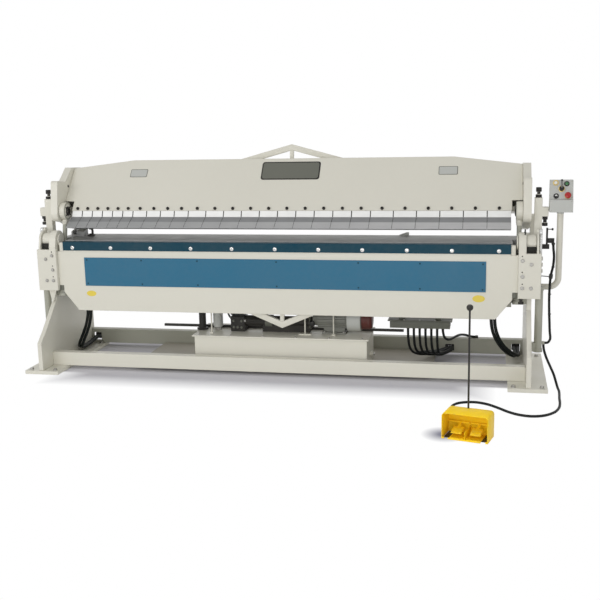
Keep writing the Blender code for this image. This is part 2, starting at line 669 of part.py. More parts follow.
def make_apron(paints, apron):
    outline = [(APRON_CHAMFER_X, APRON_BOTTOM), (APRON_HALF, APRON_CHAMFER_Z), (APRON_HALF, APRON_WING_BOTTOM),
               (BLOCK_INNER - SEAT, APRON_WING_BOTTOM), (BLOCK_INNER - SEAT, APRON_WING_TOP),
               (BLADE_BAR_HALF, APRON_WING_TOP), (BLADE_BAR_HALF, APRON_TOP)]
    full = outline + [(-x, z) for x, z in reversed(outline)]
    plate = prism("apron_plate", full, (APRON_FRONT, APRON_BACK), "Y", paints["beige"], apron)
    blade = [(APRON_BACK - 0.005, APRON_WING_TOP), (-BLADE_LIP, BLADE_BAR_BOTTOM + 0.012), (-BLADE_LIP, APRON_TOP),
             (APRON_BACK - 0.005, APRON_TOP)]
    fuse(plate, prism("apron_blade", blade, (-BLADE_BAR_HALF, BLADE_BAR_HALF), "X", paints["beige"], apron))
    block("blade_bar", (-BLADE_BAR_HALF, BLADE_BAR_HALF), (APRON_FRONT - SEAT - BLADE_BAR_THICK, APRON_FRONT - SEAT),
          (BLADE_BAR_BOTTOM, APRON_TOP), paints["blue"], apron)
    block("apron_cover", (-COVER_HALF, COVER_HALF), (APRON_FRONT - SEAT - COVER_THICK, APRON_FRONT - SEAT),
          (COVER_BOTTOM, COVER_TOP), paints["blue"], apron)
    truss("apron_truss", APRON_TRUSS_HALF, APRON_BOTTOM + TRUSS_BAR, -APRON_TRUSS_DROP - TRUSS_BAR,
          (APRON_BACK + SEAT, APRON_BACK + TRUSS_DEPTH), paints["beige"], apron)
    for name, side in side_names("hinge_block"):
        make_hinge_block(name, side, paints, apron)


def make_hinge_block(name, side, paints, apron):
    """The block bolted to each end of the apron: two cheeks round the pin, the outer one with a crank lug."""
    body = block(name, across(side, BLOCK_INNER, BLOCK_OUTER), (BLOCK_FRONT, BLOCK_BACK), (BLOCK_BOTTOM, SLOT_BOTTOM),
                 paints["beige"], apron)
    low = SLOT_BOTTOM - 0.03
    cheek = [(BLOCK_BACK, low), (0.030, SLOT_BOTTOM + 0.002)]
    cheek += arc((0.0, HINGE_Z), CHEEK_R, -60, 175, 15) + [(BLOCK_FRONT, HINGE_Z - CHEEK_DROP), (BLOCK_FRONT, low)]
    ear = (EAR_X - EAR_WIDTH / 2 - RUN_CLEAR, EAR_X + EAR_WIDTH / 2 + RUN_CLEAR)
    inner = prism(f"{name}_inner", cheek, across(side, BLOCK_INNER, ear[0]), "X", paints["beige"], apron)
    outer = prism(f"{name}_outer", cheek, across(side, ear[1], CHEEK_OUTER), "X", paints["beige"], apron)
    lug_y, lug_z = crank_at_rest()
    lug = turned(f"{name}_lug", [(0, CRANK_LUG_R), (CHEEK_OUTER - ear[1], CRANK_LUG_R)], (side * ear[1], lug_y, lug_z),
                 (side, 0, 0), paints["beige"], apron)
    bore = bar(f"{name}_bore", (side * (BLOCK_INNER - 0.01), 0, HINGE_Z), (side * (BLOCK_OUTER + 0.01), 0, HINGE_Z),
               PIN_R + PIN_CLEAR, paints["beige"], apron)
    fuse(body, inner, outer, lug)
    cut(body, bore)


def crank_at_rest():
    """The crank lug starts as far above the hinge axis as it ends below it."""
    half = APRON_RANGE / 2
    return CRANK_R * math.cos(half), HINGE_Z + CRANK_R * math.sin(half)


def truss(name, half, base_z, rise, y, paint, frame):
    """A flat triangle of bar with a centre post. A negative rise points down."""
    sign = 1 if rise > 0 else -1
    lean = math.hypot(half, rise)
    drop = TRUSS_BAR * lean / half * sign
    inner_half = half - TRUSS_BAR * lean / abs(rise)
    apex = base_z + rise
    legs = [(-half, base_z), (-inner_half, base_z), (0.0, apex - drop), (inner_half, base_z), (half, base_z), (0.0, apex)]
    made = prism(name, legs if sign > 0 else list(reversed(legs)), y, "Y", paint, frame)
    post = block(f"{name}_post", (-TRUSS_BAR / 3, TRUSS_BAR / 3), y, tuple(sorted((base_z, apex - drop / 2))), paint, frame)
    return fuse(made, post)


def beam_section(top):
    """The clamp beam's outer and inner outline (Y, Z) where its top is at the given height."""
    low = BED_TOP + FINGER_HEIGHT + SEAT
    slope = (BEAM_LEAN_Y - BEAM_NOSE_Y) / (BEAM_TOP - low)
    wall = BEAM_PLATE
    lean_wall = wall * math.hypot(1, slope)
    outer = [(BEAM_NOSE_Y, low), (BEAM_NOSE_Y + slope * (top - low), top), (BEAM_REAR_Y, top), (BEAM_REAR_Y, low)]
    inner_low = low + 1.6 * wall
    inner_top = top - wall
    inner = [(BEAM_NOSE_Y + slope * (inner_low - low) + lean_wall, inner_low),
             (BEAM_NOSE_Y + slope * (inner_top - low) + lean_wall, inner_top),
             (BEAM_REAR_Y - wall, inner_top), (BEAM_REAR_Y - wall, inner_low)]
    return outer, inner


def arm_outline():
    """The arm's side view (Y, Z): an upright pad in front, then a lean up the beam's end to the pivot."""
    top = BEAM_END_TOP + SEAT
    points = [(ARM_FRONT, ARM_PAD_TOP - ARM_PAD_CORNER), (ARM_FRONT, ARM_CHIN_Z)]
    points += arc((ARM_FRONT + ARM_CHIN_R + 0.002, ARM_CHIN_Z), ARM_CHIN_R, 200, 290, 6)
    points += [(BEAM_NOSE_Y + 0.057, ARM_BELLY_Z + 0.023), (BEAM_NOSE_Y + 0.177, ARM_BELLY_Z), (PIVOT_Y - 0.040, ARM_BELLY_Z)]
    points += arc((PIVOT_Y, PIVOT_Z), ARM_TAIL_R, -75, 30, 8)
    points += [(BEAM_REAR_Y + 0.030, top - 0.005), (BEAM_REAR_Y, top + 0.017), (ARM_LEAN_Y + 0.140, top + 0.017),
               (ARM_LEAN_Y, top + 0.002), (ARM_PAD_BACK, ARM_PAD_TOP)]
    points += arc((ARM_FRONT + ARM_PAD_CORNER, ARM_PAD_TOP - ARM_PAD_CORNER), ARM_PAD_CORNER, 90, 180, 4)[:-1]
    return points


def make_clamp(paints, clamp):
    reach = ARM_INNER - SEAT
    stations = ((-reach, BEAM_END_TOP), (-BEAM_FLAT_HALF, BEAM_TOP), (BEAM_FLAT_HALF, BEAM_TOP), (reach, BEAM_END_TOP))
    skins = [[[(x, y, z) for y, z in beam_section(top)[which]] for x, top in stations] for which in (0, 1)]
    beam = rings_solid("clamp_beam", skins[0] + skins[1][::-1], paints["beige"], clamp, round_trip=True)
    for name, side in side_names("beam_notch"):
        cut(beam, block(name, across(side, BEAM_NOTCH_X, ARM_INNER + 0.02), (0.0, BEAM_NOTCH_Y),
                        (BEAM_NOTCH_Z, ARM_EYE_Z + LIFT_EYE_R + NOTCH_CLEAR * 3), paints["beige"], clamp))
    truss("top_truss", TOP_TRUSS_HALF, BEAM_TOP + SEAT, TOP_TRUSS_RISE, (BEAM_REAR_Y - TRUSS_DEPTH, BEAM_REAR_Y - 0.005),
          paints["beige"], clamp)
    for name, side in side_names("clamp_arm"):
        eye = (ARM_EYE_Y, ARM_EYE_Z)
        made = prism(name, arm_outline(), across(side, ARM_INNER, ARM_INNER + ARM_THICK), "X", paints["beige"], clamp)
        hole = bar(f"{name}_bore", (side * (ARM_INNER - 0.03), PIVOT_Y, PIVOT_Z), (side * (ARM_INNER + 0.08), PIVOT_Y, PIVOT_Z),
                   PIVOT_R + PIN_CLEAR, paints["beige"], clamp)
        pin = bar(f"{name}_pin", (side * (ARM_INNER - ARM_PIN), *eye), (side * (ARM_INNER + 0.02), *eye), ARM_PIN_R,
                  paints["steel"], clamp)
        recess = bar(f"{name}_recess", (side * (ARM_INNER - ARM_PIN - 0.01), *eye), (side * (ARM_INNER - 0.020), *eye),
                     ARM_PIN_R - 0.008, paints["steel"], clamp)
        cut(fuse(cut(made, hole), pin), recess)
    make_fingers(paints, clamp)


def make_fingers(paints, clamp):
    sole = BED_TOP + SEAT
    top = BED_TOP + FINGER_HEIGHT
    toe = FINGER_SETBACK + TOE_REACH
    step = toe + STEP_REACH
    rear = FINGER_SETBACK + SOLE_LENGTH
    heel = rear + HEEL_REACH
    profile = [(FINGER_SETBACK, sole), (FINGER_SETBACK, sole + SOLE_EDGE), (toe, sole + TOE_RISE),
               (step, sole + TOE_RISE + STEP_RISE), (step + SHOULDER_REACH, top), (heel, top),
               (heel, sole + HEEL_RISE), (rear, sole)]
    edges = [-RUN_HALF]
    for width in FINGER_INCHES:
        edges.append(edges[-1] + width * INCH)
    for name, (first, last) in FINGER_GROUPS.items():
        rail = block(name, (edges[first] + FINGER_SPLIT / 2, edges[last] - FINGER_SPLIT / 2), (heel - 0.010, rear + RAIL_DEPTH),
                     (sole + RAIL_LOW, sole + RAIL_HIGH), paints["steel"], clamp)
        for i in range(first, last):
            fuse(rail, prism(f"{name}_{i}", profile, (edges[i] + FINGER_SPLIT / 2, edges[i + 1] - FINGER_SPLIT / 2), "X",
                             paints["steel"], clamp))


def lift_line():
    """The closed and the open place (Y, Z) of the arm's pin, which the lift rods follow in a straight line."""
    rest = Vector((ARM_EYE_Y - PIVOT_Y, ARM_EYE_Z - PIVOT_Z))
    opened = Matrix.Rotation(-OPEN_ANGLE, 2) @ rest
    return (ARM_EYE_Y, ARM_EYE_Z), (PIVOT_Y + opened.x, PIVOT_Z + opened.y)


def make_lift(paints, root, rods):
    closed, opened = lift_line()
    way = Vector((0.0, opened[0] - closed[0], opened[1] - closed[1])).normalized()
    for name, side in side_names("lift_rod"):
        centre = Vector((side * LIFT_X, opened[0], opened[1]))
        half = Vector((LIFT_EYE_WIDTH / 2, 0, 0))
        eye = bar(name, centre - half, centre + half, LIFT_EYE_R, paints["steel"], rods[side], 22)
        bore = bar(f"{name}_bore", centre - 2 * half, centre + 2 * half, LIFT_EYE_BORE, paints["steel"], rods[side])
        low = centre - way * (opened[1] - LIFT_BARREL_BOTTOM - LIFT_ROD_TAIL) / way.z
        shank = bar(f"{name}_shank", low, centre - way * (LIFT_EYE_BORE + 0.012), LIFT_ROD_R, paints["steel"], rods[side], 16)
        cut(fuse(eye, shank), bore)
    for name, side in side_names("clamp_cylinder"):
        centre = Vector((side * LIFT_X, opened[0], opened[1]))
        top = centre - way * (opened[1] - LIFT_BARREL_TOP) / way.z
        bottom = centre - way * (opened[1] - LIFT_BARREL_BOTTOM) / way.z
        length = (top - bottom).length
        barrel = turned(name, barrel_profile(length, LIFT_BARREL_R), bottom, way, paints["black"], root, 16)
        bore = turned(f"{name}_bore", [(BARREL_END, LIFT_ROD_R + ROD_CLEAR), (length + 0.01, LIFT_ROD_R + ROD_CLEAR)],
                      bottom, way, paints["black"], root, 16)
        lug = block(f"{name}_lug", across(side, LIFT_X, SIDE_INSIDE - SEAT), (bottom.y - 0.005, bottom.y + 0.045),
                    (LIFT_BARREL_BOTTOM + BARREL_LUG_LOW, LIFT_BARREL_BOTTOM + BARREL_LUG_HIGH), paints["black"], root)
        cut(fuse(barrel, lug), bore)


def barrel_profile(length, radius):
    """A cylinder barrel with a wider gland nut at its rod end."""
    nut = radius + 0.004
    return [(0, nut), (0.022, nut), (0.023, radius), (length - 0.026, radius), (length - 0.025, nut), (length, nut)]


def make_apron_drive(paints, root, rods):
    lug_y, lug_z = crank_at_rest()
    stroke = 2 * (lug_z - HINGE_Z)
    rod_end = APRON_BARREL_TOP - stroke - APRON_ROD_TAIL
    for name, side in side_names("apron_rod"):
        x = side * APRON_ROD_X
        eye = bar(name, (x - APRON_ROD_R, lug_y, lug_z), (x + APRON_ROD_R, lug_y, lug_z), CRANK_LUG_R, paints["steel"],
                  rods[side], 20)
        fuse(eye, bar(f"{name}_shank", (x, lug_y, rod_end), (x, lug_y, lug_z - 0.008), APRON_ROD_R, paints["steel"],
                      rods[side], 16))
    for name, side in side_names("apron_cylinder"):
        x = side * APRON_ROD_X
        length = APRON_BARREL_TOP - APRON_BARREL_BOTTOM
        barrel = turned(name, barrel_profile(length, APRON_BARREL_R), (x, lug_y, APRON_BARREL_BOTTOM), (0, 0, 1),
                        paints["black"], root, 16)
        deep = rod_end - stroke - BARREL_END - APRON_BARREL_BOTTOM
        bore = turned(f"{name}_bore", [(deep, APRON_ROD_R + ROD_CLEAR), (length + 0.01, APRON_ROD_R + ROD_CLEAR)],
                      (x, lug_y, APRON_BARREL_BOTTOM), (0, 0, 1), paints["black"], root, 16)
        lug = block(f"{name}_lug", across(side, SIDE_OUTSIDE, APRON_ROD_X), (lug_y - 0.02, lug_y + 0.02),
                    (APRON_BARREL_BOTTOM + BARREL_LUG_LOW, APRON_BARREL_BOTTOM + BARREL_LUG_HIGH), paints["black"], root)
        fuse(barrel, lug)
        if side > 0:
            fuse(barrel, block("lead_clip", (x, x + APRON_BARREL_R + LEAD_CLIP), (lug_y - 0.005, lug_y + 0.012), LEAD_CLIP_Z,
                               paints["black"], root))
        cut(barrel, bore)


def make_power_pack(paints, root):
    low = FOOT_PLATE + BEAM_WALL + TRAY_PLATE + 3 * SEAT
    tank = block("oil_tank", (-TANK_HALF, TANK_HALF), (TANK_FRONT, TANK_REAR), (low, TANK_TOP - LID_PLATE / 2), paints["beige"], root)
    lid = block("oil_tank_lid", (-TANK_HALF - LID_EDGE, TANK_HALF + LID_EDGE), (TANK_FRONT - LID_EDGE, TANK_REAR + LID_EDGE),
                (TANK_TOP - LID_PLATE, TANK_TOP), paints["beige"], root)
    plug = turned("drain_plug", [(-0.004, 0.022), (0.010, 0.022), (0.014, 0.014), (0.024, 0.014)],
                  (TANK_HALF, DRAIN_Y, DRAIN_Z), (1, 0, 0), paints["beige"], root, 12)
    fuse(tank, lid, plug)
    for i, (x, y, half) in enumerate(PIPE_BASES):
        fuse(tank, bar(f"pipe_{i}", (x, y, TANK_TOP - 0.004), (x, y, GIRDER_BOTTOM - SEAT), PIPE_R, paints["beige"], root, 10))
        fuse(tank, block(f"pipe_base_{i}", (x - half, x + half), (y - 0.010, y + 0.010), (TANK_TOP - 0.004, TANK_TOP + 0.008),
                         paints["beige"], root))
    make_motor(paints, root)
    pump = block("valve_block", (VALVE_X, VALVE_X + VALVE_WIDTH), (PACK_Y - 0.045, PACK_Y + 0.045), (DECK, DECK + 0.105),
                 paints["black"], root)
    fuse(pump, block("valve_bank", (VALVE_X + 0.010, VALVE_X + VALVE_WIDTH - 0.010), (PACK_Y - 0.030, PACK_Y + 0.030),
                     (DECK + 0.100, DECK + 0.150), paints["black"], root))
    fuse(pump, block("pump_foot", (PUMP_X, MOTOR_X - 0.060), (PACK_Y - 0.030, PACK_Y + 0.030), (DECK, MOTOR_AXIS_Z - 0.020),
                     paints["black"], root))
    fuse(pump, bar("pump_body", (VALVE_X + 0.05, PACK_Y, MOTOR_AXIS_Z - 0.030), (MOTOR_X - 0.0353, PACK_Y, MOTOR_AXIS_Z - 0.030),
                   PUMP_R, paints["black"], root, 20))
    turned("oil_filter", [(0, 0.020), (0.020, 0.020), (0.024, FILTER_R), (0.130, FILTER_R), (0.138, 0.018)],
           (FILTER_X, PACK_Y, DECK), (0, 0, 1), paints["grey"], root)
    turned("return_pipe", [(0, RETURN_R + 0.012), (0.010, RETURN_R + 0.012), (0.011, RETURN_R),
                           (GIRDER_BOTTOM - SEAT - DECK, RETURN_R)], (RETURN_X, PACK_Y, DECK), (0, 0, 1),
           paints["black"], root)
    block("tie_bar", TIE_BAR_X, (TIE_BAR_Y, TIE_BAR_Y + TIE_BAR_SIDE), (DECK, DECK + TIE_BAR_SIDE), paints["black"], root)
    make_junction_box(paints, root)


def make_motor(paints, root):
    """A finned motor body between its bell housing and its fan cowl, with a cap on the far end."""
    body_end = MOTOR_X + MOTOR_BODY
    cowl_end = body_end + MOTOR_COWL
    profile = [(-0.035, 0.050), (-0.004, 0.054), (0.004, 0.054)]
    motor = turned("motor", profile, (MOTOR_X, PACK_Y, MOTOR_AXIS_Z), (1, 0, 0), paints["grey"], root)
    tooth = math.pi / MOTOR_FINS
    outline = []
    for i in range(MOTOR_FINS):
        for turn, radius in ((-0.35, MOTOR_R + MOTOR_FIN), (0.35, MOTOR_R + MOTOR_FIN), (0.5, MOTOR_R), (1.5, MOTOR_R)):
            angle = 2 * tooth * i + tooth * turn
            outline.append((PACK_Y + radius * math.cos(angle), MOTOR_AXIS_Z + radius * math.sin(angle)))
    fins = prism("motor_fins", outline, (MOTOR_X, body_end), "X", paints["grey"], root)
    cowl = turned("motor_cowl", [(-0.004, MOTOR_R + 0.010), (0.0, MOTOR_R + 0.022), (MOTOR_COWL, MOTOR_R + 0.022),
                                 (MOTOR_COWL + 0.004, MOTOR_R + 0.008), (MOTOR_COWL + 0.058, MOTOR_R + 0.008),
                                 (MOTOR_COWL + 0.073, MOTOR_R - 0.006)],
                  (body_end, PACK_Y, MOTOR_AXIS_Z), (1, 0, 0), paints["grey"], root)
    foot = block("motor_foot", MOTOR_FOOT_X, (PACK_Y - 0.055, PACK_Y + 0.055), (DECK, DECK + 0.012), paints["grey"], root)
    legs = block("motor_legs", (MOTOR_FOOT_X[0] + 0.01, MOTOR_FOOT_X[1] - 0.01), (PACK_Y - 0.030, PACK_Y + 0.030),
                 (DECK + 0.010, MOTOR_AXIS_Z - MOTOR_R + 0.006), paints["grey"], root)
    terminal = block("motor_terminals", (MOTOR_X + 0.05, MOTOR_X + 0.13), (PACK_Y - 0.035, PACK_Y + 0.035),
                     (MOTOR_AXIS_Z + MOTOR_R - 0.004, MOTOR_AXIS_Z + MOTOR_R + 0.045), paints["grey"], root)
    fuse(motor, fins, cowl, foot, legs, terminal)


def make_junction_box(paints, root):
    """The box hangs by two straps from the bed girder, under a flanged lid."""
    left, right = JUNCTION_X, JUNCTION_X + JUNCTION_WIDTH
    front, rear = JUNCTION_Y, JUNCTION_Y + JUNCTION_DEPTH
    edge = JUNCTION_FLANGE
    box = block("junction_box", (left, right), (front, rear), (JUNCTION_BOTTOM, JUNCTION_TOP), paints["grey"], root)
    fuse(box, block("junction_flange", (left - edge, right + edge), (front - edge, rear + edge),
                    (JUNCTION_TOP - 0.004, JUNCTION_TOP + 0.004), paints["grey"], root))
    for i, x in enumerate((left + 1.5 * JUNCTION_STRAP, right - 2.5 * JUNCTION_STRAP)):
        fuse(box, block(f"junction_strap_{i}", (x, x + JUNCTION_STRAP), (front + 0.02, rear - 0.02),
                        (JUNCTION_TOP, GIRDER_BOTTOM - SEAT), paints["grey"], root))


def cable_route(i):
    """One of the six control cables: down from the box, then right and back into the rear beam's port."""
    start = CABLE_FIRST_X + i * CABLE_PITCH
    column, row = divmod(i, 2)
    end_x = CABLE_PORT_X + (column - 1) * CABLE_ROW
    end_z = CABLE_LOW_Z + row * CABLE_ROW
    shift = end_x - start
    route = [(start + shift * part, y, z) for part, y, z in CABLE_DROP]
    route += [(start + shift * part, y, end_z + lift) for part, y, lift in CABLE_RUN]
    return route + [(end_x, REAR_BEAM_Y - 0.015, end_z), (end_x, REAR_BEAM_Y + 0.020, end_z)]


def make_cords(paints, root):
    """The cables and hoses that hang free, each a plain round bar along its own route."""
    low = JUNCTION_BOTTOM - SEAT
    loom = block("control_loom", (CABLE_FIRST_X - 0.014, FEED_CABLE[0][0] + 0.014), (CABLE_EXIT_Y - 0.014, CABLE_EXIT_Y + 0.014),
                 (low - 0.010, low), paints["black"], root)
    for i in range(CABLE_COUNT):
        fuse(loom, swept(f"cable_{i}", smooth_path(cable_route(i), 2), CABLE_R, paints["black"], root))
    fuse(loom, swept("feed_cable", smooth_path(FEED_CABLE, 2), CABLE_R, paints["black"], root))
    inside = (REAR_BEAM_Y + 0.015, REAR_BEAM_Y + 0.045)
    fuse(loom, block("loom_socket", (CABLE_PORT_X - 0.027, CABLE_PORT_X + 0.027), inside,
                     (CABLE_LOW_Z - CABLE_R - 0.003, CABLE_LOW_Z + CABLE_ROW + CABLE_R + 0.003), paints["black"], root))
    end = FEED_CABLE[-1]
    fuse(loom, block("feed_clip", (end[0] - 0.008, end[0] + 0.012), (end[1] - 0.012, end[1] + 0.012),
                     (REAR_BEAM_TOP + SEAT, end[2] + CABLE_R + 0.002), paints["black"], root))
    for name, route in (("hydraulic_hoses_right", HOSE_RIGHT), ("hydraulic_hoses_left", HOSE_LEFT)):
        top, tail = route[0], route[-1]
        made = block(name, (top[0] - 0.030, top[0] + 0.030), (top[1] - 0.020, top[1] + 0.020),
                     (GIRDER_BOTTOM - SEAT - 0.014, GIRDER_BOTTOM - SEAT), paints["black"], root)
        for i, shift in enumerate((-HOSE_PITCH / 2, HOSE_PITCH / 2)):
            path = beside(route, shift)
            fuse(made, swept(f"{name}_{i}", path, HOSE_R, paints["black"], root, 8))
        fuse(made, block(f"{name}_end", (tail[0] - 0.027, tail[0] + 0.027), (tail[1] - 0.004, tail[1] + 0.020),
                         (tail[2] - 0.022, tail[2] + 0.022), paints["black"], root))
    tube("control_lead", smooth_path(CONTROL_LEAD, 2), LEAD_R, paints["black"], root)
    tube("pedal_lead", smooth_path(PEDAL_LEAD, 2), LEAD_R, paints["black"], root)


def make_limit_switch(paints, root):
    """The switch that reads the right arm's stop, on a bracket beside the guide post."""
    y = (SWITCH_Y - 0.010, SWITCH_Y + 0.010)
    bar_x = (SWITCH_BAR_X, SWITCH_BAR_X + SWITCH_BAR)
    switch = block("limit_switch", (POST_OUTER + SEAT, bar_x[1] + 0.008), y, SWITCH_BRACKET, paints["black"], root)
    upright = block("switch_bar", bar_x, (SWITCH_Y - 0.006, SWITCH_Y + 0.006),
                    (SWITCH_BRACKET[1] - 0.002, STOP_SCREW_LOW - 0.015), paints["black"], root)
    body = block("switch_body", (bar_x[1] - 0.002, bar_x[1] + SWITCH_OUT), y, (SWITCH_LOW, SWITCH_HIGH), paints["black"], root)
    lever = bar("switch_lever", (bar_x[1] + SWITCH_OUT * 0.75, SWITCH_Y - 0.028, SWITCH_HIGH - 0.012),
                (bar_x[1] + SWITCH_OUT * 0.75, SWITCH_Y + 0.024, SWITCH_HIGH - 0.012), 0.005, paints["black"], root, 12)
    finger = bar("switch_pin", (bar_x[0] + 0.004, SWITCH_Y, STOP_SCREW_LOW - 0.024),
                 (bar_x[1] + SWITCH_OUT * 0.8, SWITCH_Y, STOP_SCREW_LOW - 0.024), 0.003, paints["black"], root, 10)
    fuse(switch, upright, body, lever, finger)


def panel_matrix():
    """Puts the control panel's own axes in the machine: X across, Y up the slope, Z out towards the operator."""
    foot = Vector((PENDANT_TUBE_X, PENDANT_BACK - PENDANT_STEP_DEPTH, PENDANT_BOTTOM + PENDANT_STEP_RISE))
    head = Vector((PENDANT_TUBE_X, PENDANT_BACK - PENDANT_TOP_DEPTH, PENDANT_TOP))
    up = (head - foot).normalized()
    x = Vector((1, 0, 0))
    out = x.cross(up)
    return Matrix.Translation(foot) @ Matrix((x, up, out)).transposed().to_4x4()


def on_panel(made, place=(0.0, 0.0)):
    """Moves a piece drawn at the panel's origin to its place on the sloped panel."""
    made.data.transform(panel_matrix() @ Matrix.Translation((*place, 0.0)))
    return made


def make_pendant(paints, root, controls):
    y, r = PENDANT_TUBE_Y, PENDANT_BEND
    elbow = [(PENDANT_TUBE_X - r + r * math.sin(a), y, PENDANT_TUBE_Z + r - r * math.cos(a))
             for a in [math.radians(d) for d in range(0, 91, 15)]]
    path = [(SIDE_OUTSIDE, y, PENDANT_TUBE_Z)] + elbow + [(PENDANT_TUBE_X, y, PENDANT_BOTTOM - SEAT)]
    tube("pendant_arm", path, PENDANT_TUBE_R, paints["grey"], root, 4)
    front = (PENDANT_BACK - PENDANT_TOP_DEPTH, PENDANT_BACK - PENDANT_STEP_DEPTH, PENDANT_BACK - PENDANT_BASE_DEPTH)
    step_z = PENDANT_BOTTOM + PENDANT_STEP_RISE
    outline = [(PENDANT_BACK, PENDANT_BOTTOM), (PENDANT_BACK, PENDANT_TOP), (front[0], PENDANT_TOP), (front[1], step_z),
               (front[2], step_z - PENDANT_STEP_DROP), (front[2], PENDANT_BOTTOM)]
    box = prism("pendant_box", outline, (PENDANT_TUBE_X - PENDANT_WIDTH / 2, PENDANT_TUBE_X + PENDANT_WIDTH / 2), "X",
                paints["grey"], root)
    up = (0, 0, 1)
    bezels = [(name, place, BUTTON_BEZEL_R, BUTTON_R, BUTTON_TAIL + BUTTON_TRAVEL + 0.002) for name, place in BUTTONS.items()]
    bezels.append(("stop_button", STOP_PLACE, BUTTON_BEZEL_R, STOP_STEM_R, BUTTON_TAIL + STOP_TRAVEL + 0.002))
    bezels.append(("selector_lever", SELECTOR_PLACE, BUTTON_BEZEL_R, STOP_STEM_R, BUTTON_TAIL + 0.002))
    for name, place, ring, hole, depth in bezels:
        bezel = turned(f"{name}_bezel", [(-0.002, ring), (BUTTON_BEZEL, ring)], (0, 0, 0), up, paints["grey"], root, 16)
        bore = turned(f"{name}_bore", [(-depth, hole + PLUNGER_CLEAR), (0.02, hole + PLUNGER_CLEAR)], (0, 0, 0), up,
                      paints["grey"], root, 12)
        fuse(box, on_panel(bezel, place))
        cut(box, on_panel(bore, place))
    caps = {"button_white": "grey", "button_green": "green", "button_split": "black"}
    for name, place in BUTTONS.items():
        cap = [(-BUTTON_TAIL, BUTTON_R), (BUTTON_RISE - 0.001, BUTTON_R), (BUTTON_RISE, BUTTON_R - 0.001)]
        on_panel(turned(name, cap, (0, 0, 0), up, paints[caps[name]], controls[name], 16), place)
    mushroom = [(-BUTTON_TAIL, STOP_STEM_R), (STOP_RISE - STOP_HEAD, STOP_STEM_R), (STOP_RISE - STOP_HEAD + 0.002, STOP_HEAD_R),
                (STOP_RISE - 0.004, STOP_HEAD_R), (STOP_RISE, 0.6 * STOP_HEAD_R)]
    on_panel(turned("stop_button", mushroom, (0, 0, 0), up, paints["red"], controls["stop_button"], 20), STOP_PLACE)
    knob = [(-BUTTON_TAIL, STOP_STEM_R), (SELECTOR_LOW, STOP_STEM_R), (SELECTOR_LOW + 0.0005, SELECTOR_R),
            (SELECTOR_RISE - 0.001, SELECTOR_R), (SELECTOR_RISE, SELECTOR_R - 0.001)]
    selector = on_panel(turned("selector_lever", knob, (0, 0, 0), up, paints["black"], controls["selector_lever"], 20),
                        SELECTOR_PLACE)
    lever = block("selector_arm", (-0.004, 0.004), (0.0, SELECTOR_LEVER), (SELECTOR_LEVER_LOW, SELECTOR_RISE),
                  paints["black"], controls["selector_lever"])
    tip = turned("selector_tip", [(SELECTOR_LEVER_LOW, 0.007), (SELECTOR_RISE, 0.007)], (0, SELECTOR_LEVER, 0), up,
                 paints["black"], controls["selector_lever"], 12)
    fuse(selector, on_panel(lever, SELECTOR_PLACE), on_panel(tip, SELECTOR_PLACE))


def hood_outline(left, right, low, high, radius):
    """The front view (X, Z) of the foot switch's hood: a box with two rounded top corners."""
    points = [(left, low), (right, low)]
    points += arc((right - radius, high - radius), radius, 0, 90, 4)
    return points + arc((left + radius, high - radius), radius, 90, 180, 4)


def make_pedal(paints, root, pedals):
    """The foot switch: a hooded guard with two pedals, standing on the floor by itself at an angle."""
    place = Matrix.Translation(Vector((*PEDAL_CORNER, 0.0))) @ Matrix.Rotation(PEDAL_YAW, 4, "Z")

    def placed(made):
        made.data.transform(place)
        return made

    shell = PEDAL_SHELL
    middle = PEDAL_WIDTH / 2
    guard = placed(prism("pedal_guard", hood_outline(0.0, PEDAL_WIDTH, 0.0, PEDAL_HEIGHT, PEDAL_CORNER_R), (0, PEDAL_DEPTH), "Y",
                         paints["yellow"], root))
    arch = hood_outline(shell, PEDAL_WIDTH - shell, shell * 2, PEDAL_HEIGHT - shell, PEDAL_CORNER_R - shell)
    divider = [(middle - shell / 2, shell * 2), (middle - shell / 2, PEDAL_DIVIDER), (middle + shell / 2, PEDAL_DIVIDER),
               (middle + shell / 2, shell * 2)]
    hollow = prism("guard_hollow", arch[:1] + divider + arch[1:], (-0.01, PEDAL_DEPTH - shell), "Y", paints["yellow"], root)
    cut(guard, placed(hollow))
    pole = turned("guard_pole", [(0, POLE_R), (POLE_LENGTH, POLE_R), (POLE_LENGTH + 0.005, 0.017), (POLE_LENGTH + 0.022, 0.020),
                                 (POLE_LENGTH + 0.038, 0.012)], (middle, PEDAL_DEPTH - 0.01, PEDAL_HEIGHT - 0.003), (0, 0, 1),
                  paints["black"], root, 12)
    gland = turned("guard_gland", [(-0.002, 0.011), (0.008, 0.011), (GLAND_LENGTH, LEAD_R + 0.002)],
                   (GLAND_X, PEDAL_DEPTH, GLAND_Z), (0, 1, 0), paints["black"], root, 12)
    fuse(guard, placed(pole), placed(gland))
    for name, side in side_names("pedal"):
        start = shell if side < 0 else middle + shell / 2
        inside = middle - 1.5 * shell
        x = (start + PEDAL_SIDE_GAP, start + inside - PEDAL_SIDE_GAP)
        outline = [(0.010, 0.040), (PEDAL_AXIS_Y + 0.005, PEDAL_AXIS_Z - 0.004), (PEDAL_AXIS_Y + 0.005, PEDAL_AXIS_Z + 0.004),
                   (0.010, 0.050)]
        made = placed(prism(name, outline, x, "X", paints["grey"], pedals[side]))
        ends = (start + ROD_CLEAR, start + inside - ROD_CLEAR)
        spindle = bar(f"{name}_spindle", (ends[0], PEDAL_AXIS_Y, PEDAL_AXIS_Z), (ends[1], PEDAL_AXIS_Y, PEDAL_AXIS_Z),
                      PEDAL_SPINDLE_R, paints["grey"], pedals[side], 12)
        fuse(made, placed(spindle))


